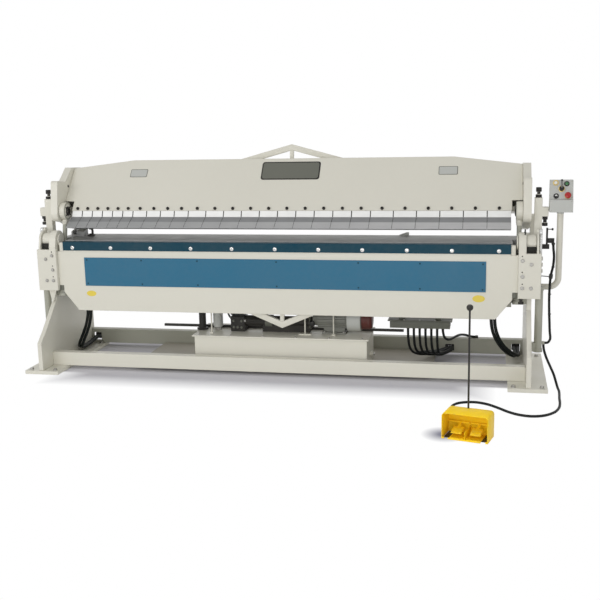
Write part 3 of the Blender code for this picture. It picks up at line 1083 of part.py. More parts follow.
def centre_on_floor(root, cords):
    """Moves the machine so that the origin is on the floor, under the middle of everything but the cords."""
    bpy.context.view_layer.update()
    graph = bpy.context.evaluated_depsgraph_get()
    low, high = Vector((1e9,) * 3), Vector((-1e9,) * 3)
    for obj in bpy.data.objects:
        if obj.type == "EMPTY" or obj.hide_render or obj.name in cords:
            continue
        shown = obj.evaluated_get(graph)
        for vertex in shown.to_mesh().vertices:
            point = obj.matrix_world @ vertex.co
            low = Vector(map(min, low, point))
            high = Vector(map(max, high, point))
        shown.to_mesh_clear()
    root.empty.location = (-(low.x + high.x) / 2, -(low.y + high.y) / 2, 0.0)


def main():
    clear_scene()
    paints = {
        "beige": material("beige_paint", (0.72, 0.66, 0.57), 0.45),
        "blue": material("blue_paint", (0.07, 0.19, 0.36), 0.40),
        "steel": material("ground_steel", (0.55, 0.55, 0.54), 0.35, 0.9),
        "tan": material("tan_paint", (0.55, 0.45, 0.33), 0.55),
        "grey": material("grey_paint", (0.62, 0.63, 0.62), 0.50),
        "black": material("black_oxide", (0.03, 0.03, 0.03), 0.45),
        "yellow": material("yellow_paint", (0.85, 0.62, 0.05), 0.45),
        "red": material("red_plastic", (0.60, 0.03, 0.02), 0.40),
        "green": material("green_plastic", (0.03, 0.25, 0.06), 0.40),
    }
    root = Frame("machine")
    apron = Frame("apron_axis", (0, 0, HINGE_Z), root)
    clamp = Frame("clamp_axis", (0, PIVOT_Y, PIVOT_Z), root)
    clamp.empty.rotation_euler.x = -OPEN_ANGLE
    lift = {side: Frame(f"lift_axis_{side}", (side * LIFT_X, 0, 0), root) for side in (-1, 1)}
    drive = {side: Frame(f"drive_axis_{side}", (side * APRON_ROD_X, 0, 0), root) for side in (-1, 1)}
    panel = panel_matrix()
    spots = {**BUTTONS, "stop_button": STOP_PLACE, "selector_lever": SELECTOR_PLACE}
    controls = {name: Frame(f"{name}_axis", panel @ Vector((*spot, 0.0)), root) for name, spot in spots.items()}
    make_base(paints, root)
    make_bed(paints, root)
    make_trunnions(paints, root)
    make_posts(paints, root)
    make_apron(paints, apron)
    make_clamp(paints, clamp)
    make_lift(paints, root, lift)
    make_apron_drive(paints, root, drive)
    make_power_pack(paints, root)
    make_pendant(paints, root, controls)
    make_limit_switch(paints, root)
    make_pedal(paints, root, {-1: root, 1: root})
    make_cords(paints, root)
    centre_on_floor(root, CORDS)


main()
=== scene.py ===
"""Looks of the hydraulic box and pan brake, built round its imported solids.

Metres, +Z up, the operator stands on the -Y side. Sizes and places are written in the machine's own
frame, in which X = 0 is the middle of the finger run, Y = 0 the bend line and Z = 0 the floor. The
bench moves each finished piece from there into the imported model's frame.
"""

from __future__ import annotations

import logging
import math
from dataclasses import dataclass
from enum import Enum
from typing import Iterable, Sequence

import bpy
from mathutils import Matrix, Vector

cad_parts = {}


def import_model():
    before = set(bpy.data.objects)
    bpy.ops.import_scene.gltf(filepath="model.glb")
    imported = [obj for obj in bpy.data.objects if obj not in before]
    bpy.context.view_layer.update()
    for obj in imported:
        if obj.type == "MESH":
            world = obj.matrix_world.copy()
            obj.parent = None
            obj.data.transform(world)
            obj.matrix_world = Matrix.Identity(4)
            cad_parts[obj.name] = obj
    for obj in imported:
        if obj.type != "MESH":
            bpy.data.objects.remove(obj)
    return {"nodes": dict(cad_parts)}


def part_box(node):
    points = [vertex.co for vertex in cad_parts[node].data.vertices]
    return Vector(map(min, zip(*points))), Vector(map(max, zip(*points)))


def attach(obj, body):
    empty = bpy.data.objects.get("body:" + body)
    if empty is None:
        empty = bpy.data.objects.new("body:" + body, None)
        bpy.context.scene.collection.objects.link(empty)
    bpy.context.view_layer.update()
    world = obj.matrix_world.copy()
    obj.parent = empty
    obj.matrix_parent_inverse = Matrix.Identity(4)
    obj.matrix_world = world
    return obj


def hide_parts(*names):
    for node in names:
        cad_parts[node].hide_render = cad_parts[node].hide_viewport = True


LOG = logging.getLogger("brake")

INCH = 0.0254
FINGER_INCHES = (3,) * 6 + (4,) * 4 + (5,) * 10 + (6,) * 6
EYE = (0.113, 1.023)
SMOOTH = math.radians(35.0)
WASHER = 0.0025
FOOT_CORNER = Vector((-1.763, -0.28, 0.0))
PIVOT = Vector((0.0, 0.56, 0.98))
OPEN_ANGLE = math.asin(0.088 / math.hypot(0.548, 0.08))
SIDES = (("left", -1.0), ("right", 1.0))
ORIGIN = (0, 0, 0)
UP, DOWN = (0, 0, 1), (0, 0, -1)
FRONT, BACK = (0, -1, 0), (0, 1, 0)
LEFT, RIGHT = (-1, 0, 0), (1, 0, 0)

Mesh = bpy.types.Object
Socket = bpy.types.NodeSocket
Pair = tuple[float, float]
Triple = tuple[float, float, float]
Route = Sequence[Sequence[float]]


class Body(Enum):
    """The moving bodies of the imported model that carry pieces."""

    FRAME = "frame"
    APRON = "apron"
    CLAMP = "clamp"
    ROD_LEFT = "lift_rod_left"
    ROD_RIGHT = "lift_rod_right"
    PEDAL_LEFT = "pedal_left"
    PEDAL_RIGHT = "pedal_right"
    BUTTON_WHITE = "button_white"
    BUTTON_GREEN = "button_green"
    BUTTON_SPLIT = "button_split"
    STOP = "stop_button"
    SELECTOR = "selector_lever"


class Paint(Enum):
    """The finishes that the machine's pieces are given."""

    CREAM = "cream_enamel"
    # the cream enamel made darker for parts that stand in shade: painted shade
    SHADE = "cream_enamel_in_painted_shade"
    BLUE = "blue_enamel"
    BAR = "bar_enamel"
    TRAY = "tray_enamel"
    FINGER = "finger_steel"
    BED = "bed_steel"
    ROD = "polished_rod"
    ZINC = "zinc_plate"
    BLACK = "black_oxide"
    RUBBER = "cable_rubber"
    HOSE = "hose_rubber"
    MOTOR = "motor_casting"
    RED = "red_enamel"
    YELLOW = "yellow_enamel"
    OVAL = "yellow_foil"
    PENDANT = "pendant_plastic"
    WHITE = "white_plastic"
    GREEN = "green_plastic"
    MUSHROOM = "red_plastic"
    KNOB = "black_plastic"
    BRASS = "brass_ring"
    # dark set screws and fittings, and also dark pieces that paint the shade in slits, bores and windows
    DARK = "dark_metal_and_painted_shade"
    BOX = "box_enamel"


class Graph:
    """Adds nodes to one node tree and joins their sockets."""

    def __init__(self, tree: bpy.types.NodeTree) -> None:
        """Keeps the tree that the nodes go into.

        Args:
            tree: the node tree of a material or of a group.
        """
        self.tree = tree

    def add(self, kind: str, values: dict[str, object] | None = None, **settings: object) -> bpy.types.Node:
        """Adds one node.

        Args:
            kind: the node's type, without the words ShaderNode.
            values: numbers or colours for its inputs, by input name.
            settings: attributes of the node itself.

        Returns:
            The new node.
        """
        node = self.tree.nodes.new(f"ShaderNode{kind}")
        for name, value in settings.items():
            setattr(node, name, value)
        for name, value in (values or {}).items():
            node.inputs[name].default_value = value
        return node

    def join(self, source: Socket, target: Socket) -> None:
        """Links an output socket to an input socket."""
        self.tree.links.new(source, target)

    def place(self) -> Socket:
        """The object's own coordinates."""
        return self.add("TexCoord").outputs["Object"]

    def noise(self, place: Socket, scale: float, detail: float = 3.0, rough: float = 0.55) -> Socket:
        """A noise pattern on the given coordinates.

        Args:
            place: the coordinates it is drawn on.
            scale: its scale, in waves for each metre.
            detail: how many finer layers it has.
            rough: how strong the finer layers are.

        Returns:
            The socket of its value.
        """
        node = self.add("TexNoise", {"Scale": scale, "Detail": detail, "Roughness": rough})
        self.join(place, node.inputs["Vector"])
        return node.outputs["Fac"]

    def span(self, value: Socket, low: float, high: float, to_low: float = 0.0, to_high: float = 1.0) -> Socket:
        """Maps a value from one span to another, with its ends held.

        Args:
            value: the socket that is mapped.
            low: the value that gives to_low.
            high: the value that gives to_high.
            to_low: the first end of the new span.
            to_high: the other end of the new span.

        Returns:
            The socket of the mapped value.
        """
        node = self.add("MapRange", {"From Min": low, "From Max": high, "To Min": to_low, "To Max": to_high})
        self.join(value, node.inputs["Value"])
        return node.outputs["Result"]

    def sum(self, operation: str, first: Socket, second: Socket | float) -> Socket:
        """One step of arithmetic on a socket and a socket or number.

        Args:
            operation: the Math node's operation.
            first: the first value.
            second: the second value.

        Returns:
            The socket of the result.
        """
        node = self.add("Math", operation=operation)
        self.join(first, node.inputs[0])
        if isinstance(second, (int, float)):
            node.inputs[1].default_value = second
        else:
            self.join(second, node.inputs[1])
        return node.outputs[0]

    def mix(self, mask: Socket, first: object, second: object) -> Socket:
        """Mixes two colours by a mask.

        Args:
            mask: the share of the second colour.
            first: a colour or the socket of one.
            second: a colour or the socket of one.

        Returns:
            The socket of the mixed colour.
        """
        node = self.add("Mix", data_type="RGBA")
        self.join(mask, node.inputs[0])
        for socket, given in ((node.inputs[6], first), (node.inputs[7], second)):
            if isinstance(given, Socket):
                self.join(given, socket)
            else:
                socket.default_value = (*given, 1.0)
        return node.outputs[2]


GREY = ("Color", "Color", (0.5, 0.5, 0.5, 1.0))


class Effects:
    """The shader node groups that more than one material uses, each built once."""

    def __init__(self) -> None:
        """Builds every group."""
        self.tone = self._tone()
        self.wear = self._wear()
        self.dust = self._dust()
        self.grain = self._grain()
        self.soft_edge = self._soft_edge()

    @staticmethod
    def _start(
        name: str, inputs: Sequence[tuple[str, str, object]], outputs: Sequence[tuple[str, str]],
    ) -> tuple[Graph, bpy.types.Node, bpy.types.Node]:
        """Begins a group with its sockets.

        Args:
            name: the group's name.
            inputs: the name, kind and first value of each input.
            outputs: the name and kind of each output.

        Returns:
            The graph of the group, its input node and its output node.
        """
        tree = bpy.data.node_groups.new(name, "ShaderNodeTree")
        for label, kind, value in inputs:
            socket = tree.interface.new_socket(label, in_out="INPUT", socket_type=f"NodeSocket{kind}")
            socket.default_value = value
        for label, kind in outputs:
            tree.interface.new_socket(label, in_out="OUTPUT", socket_type=f"NodeSocket{kind}")
        graph = Graph(tree)
        return graph, tree.nodes.new("NodeGroupInput"), tree.nodes.new("NodeGroupOutput")

    @staticmethod
    def _layer(
        graph: Graph, given: bpy.types.Node, out: bpy.types.Node, where: Socket, patches: Socket
    ) -> bpy.types.NodeTree:
        """Ends a group that lays a second colour over the first in broken patches.

        Args:
            graph: the graph of the group.
            given: its input node, whose second input is the colour that is laid on.
            out: its output node.
            where: the mask of the places that can take it.
            patches: the mask that breaks it up.

        Returns:
            The finished group.
        """
        mask = graph.sum("MULTIPLY", graph.sum("MULTIPLY", where, patches), given.outputs["Amount"])
        graph.join(graph.mix(mask, given.outputs[0], given.outputs[1]), out.inputs[0])
        graph.join(mask, out.inputs["Mask"])
        return graph.tree

    def _tone(self) -> bpy.types.NodeTree:
        """Paint that varies a little in shade and gloss, with a fine sprayed texture.

        Returns:
            The group's node tree.
        """
        graph, given, out = self._start(
            "uneven_tone",
            [GREY, ("Mottle", "Float", 0.06), ("Gloss", "Float", 0.4)],
            [("Color", "Color"), ("Roughness", "Float"), ("Height", "Float")],
        )
        place = graph.place()
        broad = graph.noise(place, 1.7, 4.0)
        fine = graph.noise(place, 38.0, 3.0)
        both = graph.sum("ADD", graph.sum("MULTIPLY", broad, 0.7), graph.sum("MULTIPLY", fine, 0.3))
        shade = graph.sum("MULTIPLY", graph.span(both, 0.3, 0.7), given.outputs["Mottle"])
        grey = graph.mix(shade, given.outputs["Color"], (0.24, 0.22, 0.18))
        graph.join(grey, out.inputs["Color"])
        swing = graph.span(graph.noise(place, 7.0), 0.3, 0.7, -0.07, 0.07)
        graph.join(graph.sum("ADD", swing, given.outputs["Gloss"]), out.inputs["Roughness"])
        graph.join(graph.noise(place, 420.0, 2.0), out.inputs["Height"])
        return graph.tree

    def _wear(self) -> bpy.types.NodeTree:
        """Edges rubbed towards a second colour, in broken patches.

        Returns:
            The group's node tree.
        """
        graph, given, out = self._start(
            "rubbed_edges",
            [GREY, ("Under", "Color", (0.3, 0.3, 0.3, 1.0)), ("Amount", "Float", 0.5)],
            [("Color", "Color"), ("Mask", "Float")],
        )
        rounded = graph.add("Bevel", {"Radius": 0.004}, samples=3)
        flat = graph.add("NewGeometry")
        turn = graph.add("VectorMath", operation="DOT_PRODUCT")
        graph.join(rounded.outputs["Normal"], turn.inputs[0])
        graph.join(flat.outputs["True Normal"], turn.inputs[1])
        edge = graph.span(turn.outputs["Value"], 0.995, 0.86)
        patches = graph.span(graph.noise(graph.place(), 26.0, 5.0, 0.7), 0.46, 0.6)
        return self._layer(graph, given, out, edge, patches)

    def _dust(self) -> bpy.types.NodeTree:
        """Dust and faint oil film that settle on faces that point up.

        Returns:
            The group's node tree.
        """
        graph, given, out = self._start(
            "settled_dust",
            [GREY, ("Dust", "Color", (0.5, 0.47, 0.4, 1.0)), ("Amount", "Float", 0.3)],
            [("Color", "Color"), ("Mask", "Float")],
        )
        split = graph.add("SeparateXYZ")
        graph.join(graph.add("NewGeometry").outputs["Normal"], split.inputs[0])
        up = graph.span(split.outputs["Z"], 0.55, 0.98)
        patches = graph.span(graph.noise(graph.place(), 5.0, 5.0, 0.6), 0.35, 0.7)
        return self._layer(graph, given, out, up, patches)

    def _grain(self) -> bpy.types.NodeTree:
        """Fine parallel lines of ground or drawn metal.

        Returns:
            The group's node tree.
        """
        graph, given, out = self._start(
            "ground_grain",
            [GREY, ("Stretch", "Vector", (4.0, 260.0, 260.0)), ("Depth", "Float", 0.3), ("Gloss", "Float", 0.35)],
            [("Color", "Color"), ("Roughness", "Float"), ("Height", "Float")],
        )
        place = graph.place()
        lines = graph.add("VectorMath", operation="MULTIPLY")
        graph.join(place, lines.inputs[0])
        graph.join(given.outputs["Stretch"], lines.inputs[1])
        grain = graph.noise(lines.outputs[0], 1.0, 3.0)
        blotch = graph.noise(place, 9.0, 4.0)
        both = graph.sum("ADD", graph.sum("MULTIPLY", grain, 0.6), graph.sum("MULTIPLY", blotch, 0.4))
        shade = graph.sum("MULTIPLY", graph.span(both, 0.35, 0.65), given.outputs["Depth"])
        graph.join(graph.mix(shade, given.outputs["Color"], (0.12, 0.12, 0.13)), out.inputs["Color"])
        swing = graph.span(both, 0.3, 0.7, -0.08, 0.1)
        graph.join(graph.sum("ADD", swing, given.outputs["Gloss"]), out.inputs["Roughness"])
        graph.join(grain, out.inputs["Height"])
        return graph.tree

    def _soft_edge(self) -> bpy.types.NodeTree:
        """The small radius that a cut, welded or cast edge has.

        Returns:
            The group's node tree.
        """
        graph, _, out = self._start("soft_edge", [], [("Normal", "Vector")])
        rounded = graph.add("Bevel", {"Radius": 0.0025}, samples=3)
        graph.join(rounded.outputs["Normal"], out.inputs["Normal"])
        return graph.tree


@dataclass(frozen=True)
class Finish:
    """One finish: its colour, gloss and how it ages."""

    color: Triple
    roughness: float = 0.4
    metallic: float = 0.0
    mottle: float = 0.06
    bump: float = 0.04
    wear: float = 0.0
    under: Triple = (0.3, 0.29, 0.27)
    dust: float = 0.0
    coat: float = 0.0
    stretch: Triple | None = None
    specular: float = 0.5

    def _group(self, graph: Graph, tree: bpy.types.NodeTree, **values: object) -> bpy.types.Node:
        """Places one effect group in the material with this finish's own values.

        Args:
            graph: the graph of the material's nodes.
            tree: the effect group.
            values: the values of its inputs, by name.

        Returns:
            The group's node.
        """
        node = graph.add("Group", node_tree=tree)
        for name, value in values.items():
            node.inputs[name].default_value = value
        return node

    def base(self, graph: Graph) -> Socket | None:
        """The colour under the wear, for a finish that isn't the same all over."""
        return None

    def build(self, name: str, effects: Effects) -> bpy.types.Material:
        """Makes the material.

        Args:
            name: the material's name.
            effects: the shared shader groups.

        Returns:
            The finished material.
        """
        made = bpy.data.materials.new(name)
        made.use_nodes = True
        graph = Graph(made.node_tree)
        shader = made.node_tree.nodes["Principled BSDF"]
        settings = {
            "Metallic": self.metallic, "Coat Weight": self.coat, "Coat Roughness": 0.12,
            "Specular IOR Level": self.specular,
        }
        for label, value in settings.items():
            shader.inputs[label].default_value = value
        flat = (*self.color, 1.0)
        if self.stretch:
            tone = self._group(
                graph, effects.grain, Color=flat, Stretch=self.stretch, Depth=self.mottle, Gloss=self.roughness,
            )
        else:
            tone = self._group(graph, effects.tone, Color=flat, Mottle=self.mottle, Gloss=self.roughness)
        start = self.base(graph)
        if start:
            graph.join(start, tone.inputs["Color"])
        colour = tone.outputs["Color"]
        if self.dust:
            dust = self._group(graph, effects.dust, Amount=self.dust)
            graph.join(colour, dust.inputs["Color"])
            colour = dust.outputs["Color"]
        if self.wear:
            wear = self._group(graph, effects.wear, Under=(*self.under, 1.0), Amount=self.wear)
            graph.join(colour, wear.inputs["Color"])
            colour = wear.outputs["Color"]
        graph.join(colour, shader.inputs["Base Color"])
        graph.join(tone.outputs["Roughness"], shader.inputs["Roughness"])
        bump = graph.add("Bump", {"Strength": self.bump, "Distance": 0.001})
        graph.join(tone.outputs["Height"], bump.inputs["Height"])
        edge = self._group(graph, effects.soft_edge)
        graph.join(edge.outputs["Normal"], bump.inputs["Normal"])
        graph.join(bump.outputs["Normal"], shader.inputs["Normal"])
        return made


@dataclass(frozen=True)
class FingerFinish(Finish):
    """Ground finger steel in three bands by height, which paint the light and shade on the finger's faces: a near-white
    lit face above a dark shaded step, and the bevelled toe, which lightens to the right as a painted reflection.
    """

    # face and step: the light on the face and the shade on the step, painted into one steel; toe_lit_right: the toe's
    # lighter right end, a painted reflection
    face: Triple = (0.93, 0.93, 0.91)
    step: Triple = (0.24, 0.245, 0.248)
    toe_lit_right: Triple = (0.5, 0.5, 0.5)
    step_low: float = 0.946
    step_high: float = 0.9825
    blur: float = 0.0012
    toe_span: Pair = (-1.2, 0.9)
    place: Triple = (0.0, 0.0, 0.0)

    def base(self, graph: Graph) -> Socket:
        """The three bands of painted light and shade, told apart by the height over the closed bed.

        Args:
            graph: the material's node graph.

        Returns:
            The socket of the banded colour.
        """
        turn = graph.add("VectorMath", operation="DOT_PRODUCT")
        turn.inputs[1].default_value = (0.0, math.sin(OPEN_ANGLE), math.cos(OPEN_ANGLE))
        away = graph.add("VectorMath", operation="SUBTRACT")
        away.inputs[1].default_value = Vector(self.place) + PIVOT
        graph.join(graph.place(), away.inputs[0])
        graph.join(away.outputs[0], turn.inputs[0])
        height = graph.sum("ADD", turn.outputs["Value"], PIVOT.z)
        above_toe = graph.span(height, self.step_low - self.blur, self.step_low + self.blur)
        above_step = graph.span(height, self.step_high - self.blur, self.step_high + self.blur)
        across = graph.add("SeparateXYZ")
        graph.join(away.outputs[0], across.inputs[0])
        # the toe lightens towards the right end: a painted reflection
        toe = graph.mix(graph.span(across.outputs["X"], *self.toe_span), self.color, self.toe_lit_right)
        lower = graph.mix(above_toe, toe, self.step)
        return graph.mix(above_step, lower, self.face)


class Palette:
    """Every finish of the machine, as materials."""

    def __init__(self, place: Vector) -> None:
        """Builds the materials.

        Args:
            place: how far the machine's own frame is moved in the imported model.
        """
        effects = Effects()
        finishes = {
            Paint.CREAM: Finish((0.75, 0.73, 0.64), 0.38, mottle=0.045, wear=0.45, dust=0.1, under=(0.42, 0.39, 0.33)),
            # the cream enamel made darker: painted shade on the girder, rear beam, rods, cylinders and pivot caps
            Paint.SHADE: Finish((0.4, 0.4, 0.335), 0.45, mottle=0.09, wear=0.35, dust=0.2),
            Paint.BLUE: Finish(
                (0.02, 0.15, 0.262), 0.42, mottle=0.1, wear=0.35, under=(0.16, 0.22, 0.28), specular=0.3,
            ),
            Paint.BAR: Finish(
                (0.001, 0.048, 0.08), 0.45, mottle=0.12, wear=0.22, under=(0.1, 0.16, 0.2), specular=0.15,
            ),
            Paint.TRAY: Finish((0.4, 0.375, 0.32), 0.55, mottle=0.22, wear=0.3, dust=0.35),
            Paint.FINGER: FingerFinish(
                (0.345, 0.35, 0.35), 0.42, 0.15, mottle=0.12, bump=0.1, wear=0.5, under=(0.75, 0.75, 0.74),
                stretch=(9.0, 330.0, 330.0), place=tuple(place),
            ),
            Paint.BED: Finish(
                (0.4, 0.405, 0.4), 0.45, 0.3, mottle=0.22, bump=0.1, wear=0.6, under=(0.7, 0.7, 0.68), dust=0.12,
                stretch=(6.0, 300.0, 300.0),
            ),
            Paint.ROD: Finish((0.62, 0.62, 0.61), 0.22, 0.95, mottle=0.08, bump=0.05, stretch=(260.0, 260.0, 6.0)),
            Paint.ZINC: Finish(
                (0.42, 0.41, 0.385), 0.36, 0.75, mottle=0.18, bump=0.06, wear=0.4, under=(0.72, 0.72, 0.72),
            ),
            Paint.BLACK: Finish(
                (0.012, 0.012, 0.013), 0.42, mottle=0.2, bump=0.08, wear=0.4, under=(0.12, 0.115, 0.11), dust=0.04,
                specular=0.2,
            ),
            Paint.RUBBER: Finish((0.006, 0.008, 0.009), 0.5, mottle=0.06, bump=0.06, specular=0.14),
            Paint.HOSE: Finish((0.005, 0.009, 0.009), 0.42, mottle=0.06, bump=0.16, specular=0.18),
            Paint.MOTOR: Finish((0.2, 0.205, 0.18), 0.5, 0.05, mottle=0.18, bump=0.25, wear=0.3, dust=0.12),
            Paint.RED: Finish((0.1, 0.013, 0.01), 0.42, mottle=0.2, wear=0.3, dust=0.05, specular=0.3),
            Paint.YELLOW: Finish(
                (0.98, 0.66, 0.011), 0.45, mottle=0.03, wear=0.5, under=(0.8, 0.68, 0.26), specular=0.15,
            ),
            Paint.OVAL: Finish((0.84, 0.66, 0.08), 0.35, mottle=0.08, bump=0.02),
            Paint.PENDANT: Finish((0.53, 0.54, 0.51), 0.42, mottle=0.05, wear=0.3, under=(0.75, 0.75, 0.73)),
            Paint.WHITE: Finish((0.8, 0.8, 0.77), 0.3, mottle=0.04, bump=0.02, coat=0.3),
            Paint.GREEN: Finish((0.022, 0.17, 0.045), 0.3, mottle=0.06, bump=0.02, coat=0.3),
            Paint.MUSHROOM: Finish((0.42, 0.008, 0.01), 0.28, mottle=0.06, bump=0.02, coat=0.2, specular=0.3),
            Paint.KNOB: Finish((0.012, 0.012, 0.013), 0.35, mottle=0.1, bump=0.03, specular=0.25),
            Paint.BRASS: Finish((0.72, 0.52, 0.16), 0.3, 0.55, mottle=0.1, bump=0.03),
            Paint.BOX: Finish(
                (0.145, 0.15, 0.125), 0.5, mottle=0.1, wear=0.4, under=(0.3, 0.3, 0.27), dust=0.08, specular=0.3,
            ),
            # near-black for dark fittings, and for pieces that paint the shade in slits, bores and windows
            Paint.DARK: Finish((0.016, 0.017, 0.016), 0.75, mottle=0.15, specular=0.15),
        }
        self.materials = {paint: finish.build(paint.value, effects) for paint, finish in finishes.items()}

    def __getitem__(self, paint: Paint) -> bpy.types.Material:
        """The material of one finish."""
        return self.materials[paint]


SLOTS = {
    "beige_paint": (Paint.CREAM, Paint.SHADE),
    "blue_paint": (Paint.BAR,),
    "ground_steel": (Paint.ROD, Paint.ZINC),
    "black_oxide": (Paint.BLACK, Paint.RUBBER, Paint.HOSE, Paint.KNOB, Paint.DARK),
    "grey_paint": (Paint.BOX, Paint.PENDANT, Paint.WHITE, Paint.BRASS, Paint.MOTOR),
    "yellow_paint": (Paint.YELLOW, Paint.OVAL),
    "red_plastic": (Paint.RED, Paint.MUSHROOM),
    "green_plastic": (Paint.GREEN,),
}


def link(name: str, data: bpy.types.ID) -> Mesh:
    """Makes an object of the given data and puts it into the scene.

    Args:
        name: the object's name.
        data: the mesh, camera or light data.

    Returns:
        The object.
    """
    made = bpy.data.objects.new(name, data)
    bpy.context.scene.collection.objects.link(made)
    return made


def only(*objects: Mesh) -> None:
    """Selects these objects and nothing else, and makes the last one active."""
    bpy.ops.object.select_all(action="DESELECT")
    for made in objects:
        made.select_set(True)
    bpy.context.view_layer.objects.active = objects[-1]


def move(made: Mesh, place: Matrix) -> Mesh:
    """Moves an object by a matrix and writes the move into its mesh.

    Args:
        made: the mesh object.
        place: the matrix of the move.

    Returns:
        The same object.
    """
    only(made)
    made.matrix_world = place @ made.matrix_world
    bpy.ops.object.transform_apply(location=True, rotation=True, scale=True)
    return made


def extrude(shift: Sequence[float]) -> None:
    """Extrudes what is selected in edit mode."""
    bpy.ops.mesh.extrude_region_move(TRANSFORM_OT_translate={"value": tuple(shift)})


def close() -> None:
    """Turns all faces outwards and leaves edit mode."""
    bpy.ops.mesh.select_all(action="SELECT")
    bpy.ops.mesh.normals_make_consistent(inside=False)
    bpy.ops.object.mode_set(mode="OBJECT")


def modify(made: Mesh, kind: str, **settings: object) -> Mesh:
    """Adds one modifier and applies it.

    Args:
        made: the mesh object.
        kind: the modifier's type.
        settings: the modifier's attributes.

    Returns:
        The same object.
    """
    only(made)
    step = made.modifiers.new(kind.title(), kind)
    for name, value in settings.items():
        setattr(step, name, value)
    bpy.ops.object.modifier_apply(modifier=step.name)
    return made


def bevel(made: Mesh, width: float, segments: int = 2) -> Mesh:
    """Rounds the sharp edges of a mesh by the given width, or not at all for 0.

    Args:
        made: the mesh object.
        width: the bevel's width.
        segments: its steps.

    Returns:
        The same object.
    """
    if not width:
        return made
    return modify(made, "BEVEL", width=width, segments=segments, limit_method="ANGLE", angle_limit=SMOOTH)


def box(x: Pair, y: Pair, z: Pair, edge: float = 0.002) -> Mesh:
    """A block between two corners, with rounded edges.

    Args:
        x: its span of X.
        y: its span of Y.
        z: its span of Z.
        edge: the width of the rounded edge.

    Returns:
        The new object.
    """
    bpy.ops.object.select_all(action="DESELECT")
    middle = [(a + b) / 2 for a, b in (x, y, z)]
    bpy.ops.mesh.primitive_cube_add(size=1.0, location=middle)
    made = bpy.context.object
    made.scale = [abs(b - a) for a, b in (x, y, z)]
    bpy.ops.object.transform_apply(location=True, rotation=True, scale=True)
    return bevel(made, edge)


def rail(middle: float, half: float, base: float, rise: float, y: Pair) -> Mesh:
    """A flat triangle of bar with a centre post, like the two stiffeners.

    Args:
        middle: the X of its apex.
        half: half its length.
        base: the height of its feet.
        rise: how far its apex is above them, or below them if it is negative.
        y: its span of Y.

    Returns:
        The new object.
    """
    bar, lean = math.copysign(0.04, rise), math.hypot(half, rise)
    inner, drop = half - bar * lean / rise, bar * lean / half
    points = ((-half, 0), (-inner, 0), (0, rise - drop), (inner, 0), (half, 0), (0, rise))
    legs = plate([(middle + x, y[0], base + z) for x, z in points], (0, y[1] - y[0], 0))
    height = tuple(sorted((base, base + rise - drop / 3)))
    return join(legs, box((middle - 0.0135, middle + 0.0135), (y[0] + 0.002, y[1] - 0.002), height, 0.001))


def turned(profile: Route, start: Sequence[float] = ORIGIN, direction: Sequence[float] = UP, sides: int = 20) -> Mesh:
    """A solid turned about the line from start: a disc that is extruded and resized for each step.

    Args:
        profile: pairs of distance along the line and radius.
        start: the line's first point.
        direction: the line's direction.
        sides: how many sides the round has.

    Returns:
        The new object.
    """
    bpy.ops.object.select_all(action="DESELECT")
    along, radius = profile[0]
    bpy.ops.mesh.primitive_circle_add(vertices=sides, radius=radius, fill_type="NGON", location=ORIGIN)
    made = bpy.context.object
    bpy.ops.object.mode_set(mode="EDIT")
    bpy.ops.mesh.select_all(action="SELECT")
    bpy.ops.transform.translate(value=(0, 0, along))
    for next_along, next_radius in profile[1:]:
        extrude((0, 0, next_along - along))
        ratio = next_radius / radius
        bpy.ops.transform.resize(value=(ratio, ratio, 1.0), center_override=(0, 0, next_along))
        along, radius = next_along, next_radius
    close()
    return move(made, facing(start, direction))


def rod(start: Sequence[float], end: Sequence[float], radius: float, sides: int = 14, edge: float = 0.001) -> Mesh:
    """A round bar between two points, with broken rims.

    Args:
        start: the middle of its first end.
        end: the middle of its other end.
        radius: its radius.
        sides: how many sides the round has.
        edge: the size of the broken rim.

    Returns:
        The new object.
    """
    line = Vector(end) - Vector(start)
    profile = [(0.0, radius - edge), (edge, radius), (line.length - edge, radius), (line.length, radius - edge)]
    return turned(profile, start, line, sides)


def plate(outline: Route, shift: Sequence[float], edge: float = 0.002, segments: int = 2) -> Mesh:
    """A flat outline extruded along a vector, with rounded edges.

    Args:
        outline: the outline's points.
        shift: the way and distance it is extruded.
        edge: the width of the rounded edge.
        segments: how many facets the edge has.

    Returns:
        The new object.
    """
    mesh = bpy.data.meshes.new("plate")
    mesh.from_pydata([tuple(p) for p in outline], [], [tuple(range(len(outline)))])
    made = link("plate", mesh)
    only(made)
    bpy.ops.object.mode_set(mode="EDIT")
    bpy.ops.mesh.select_all(action="SELECT")
    extrude(shift)
    close()
    return bevel(made, edge, segments)


def join(*parts: Mesh) -> Mesh:
    """Joins several meshes into one object."""
    only(*parts)
    if len(parts) > 1:
        bpy.ops.object.join()
    return bpy.context.object


def copies(model: Mesh, places: Iterable[Matrix]) -> Mesh:
    """Copies a piece that was modelled at the origin to several places, as one object.

    Args:
        model: the piece at the origin, which is used up.
        places: the matrix of each copy.

    Returns:
        The joined object.
    """
    made = []
    for place in places:
        twin = link(model.name, model.data.copy())
        twin.matrix_world = place
        made.append(twin)
    bpy.data.objects.remove(model)
    only(*made)
    bpy.ops.object.transform_apply(location=True, rotation=True, scale=True)
    return join(*made)


def facing(point: Sequence[float], direction: Sequence[float], spin: float = 0.0) -> Matrix:
    """The matrix that stands a piece drawn along +Z on a point, along a direction."""
    turn = Vector(UP).rotation_difference(Vector(direction)).to_matrix().to_4x4()
    return Matrix.Translation(Vector(point)) @ turn @ Matrix.Rotation(spin, 4, "Z")


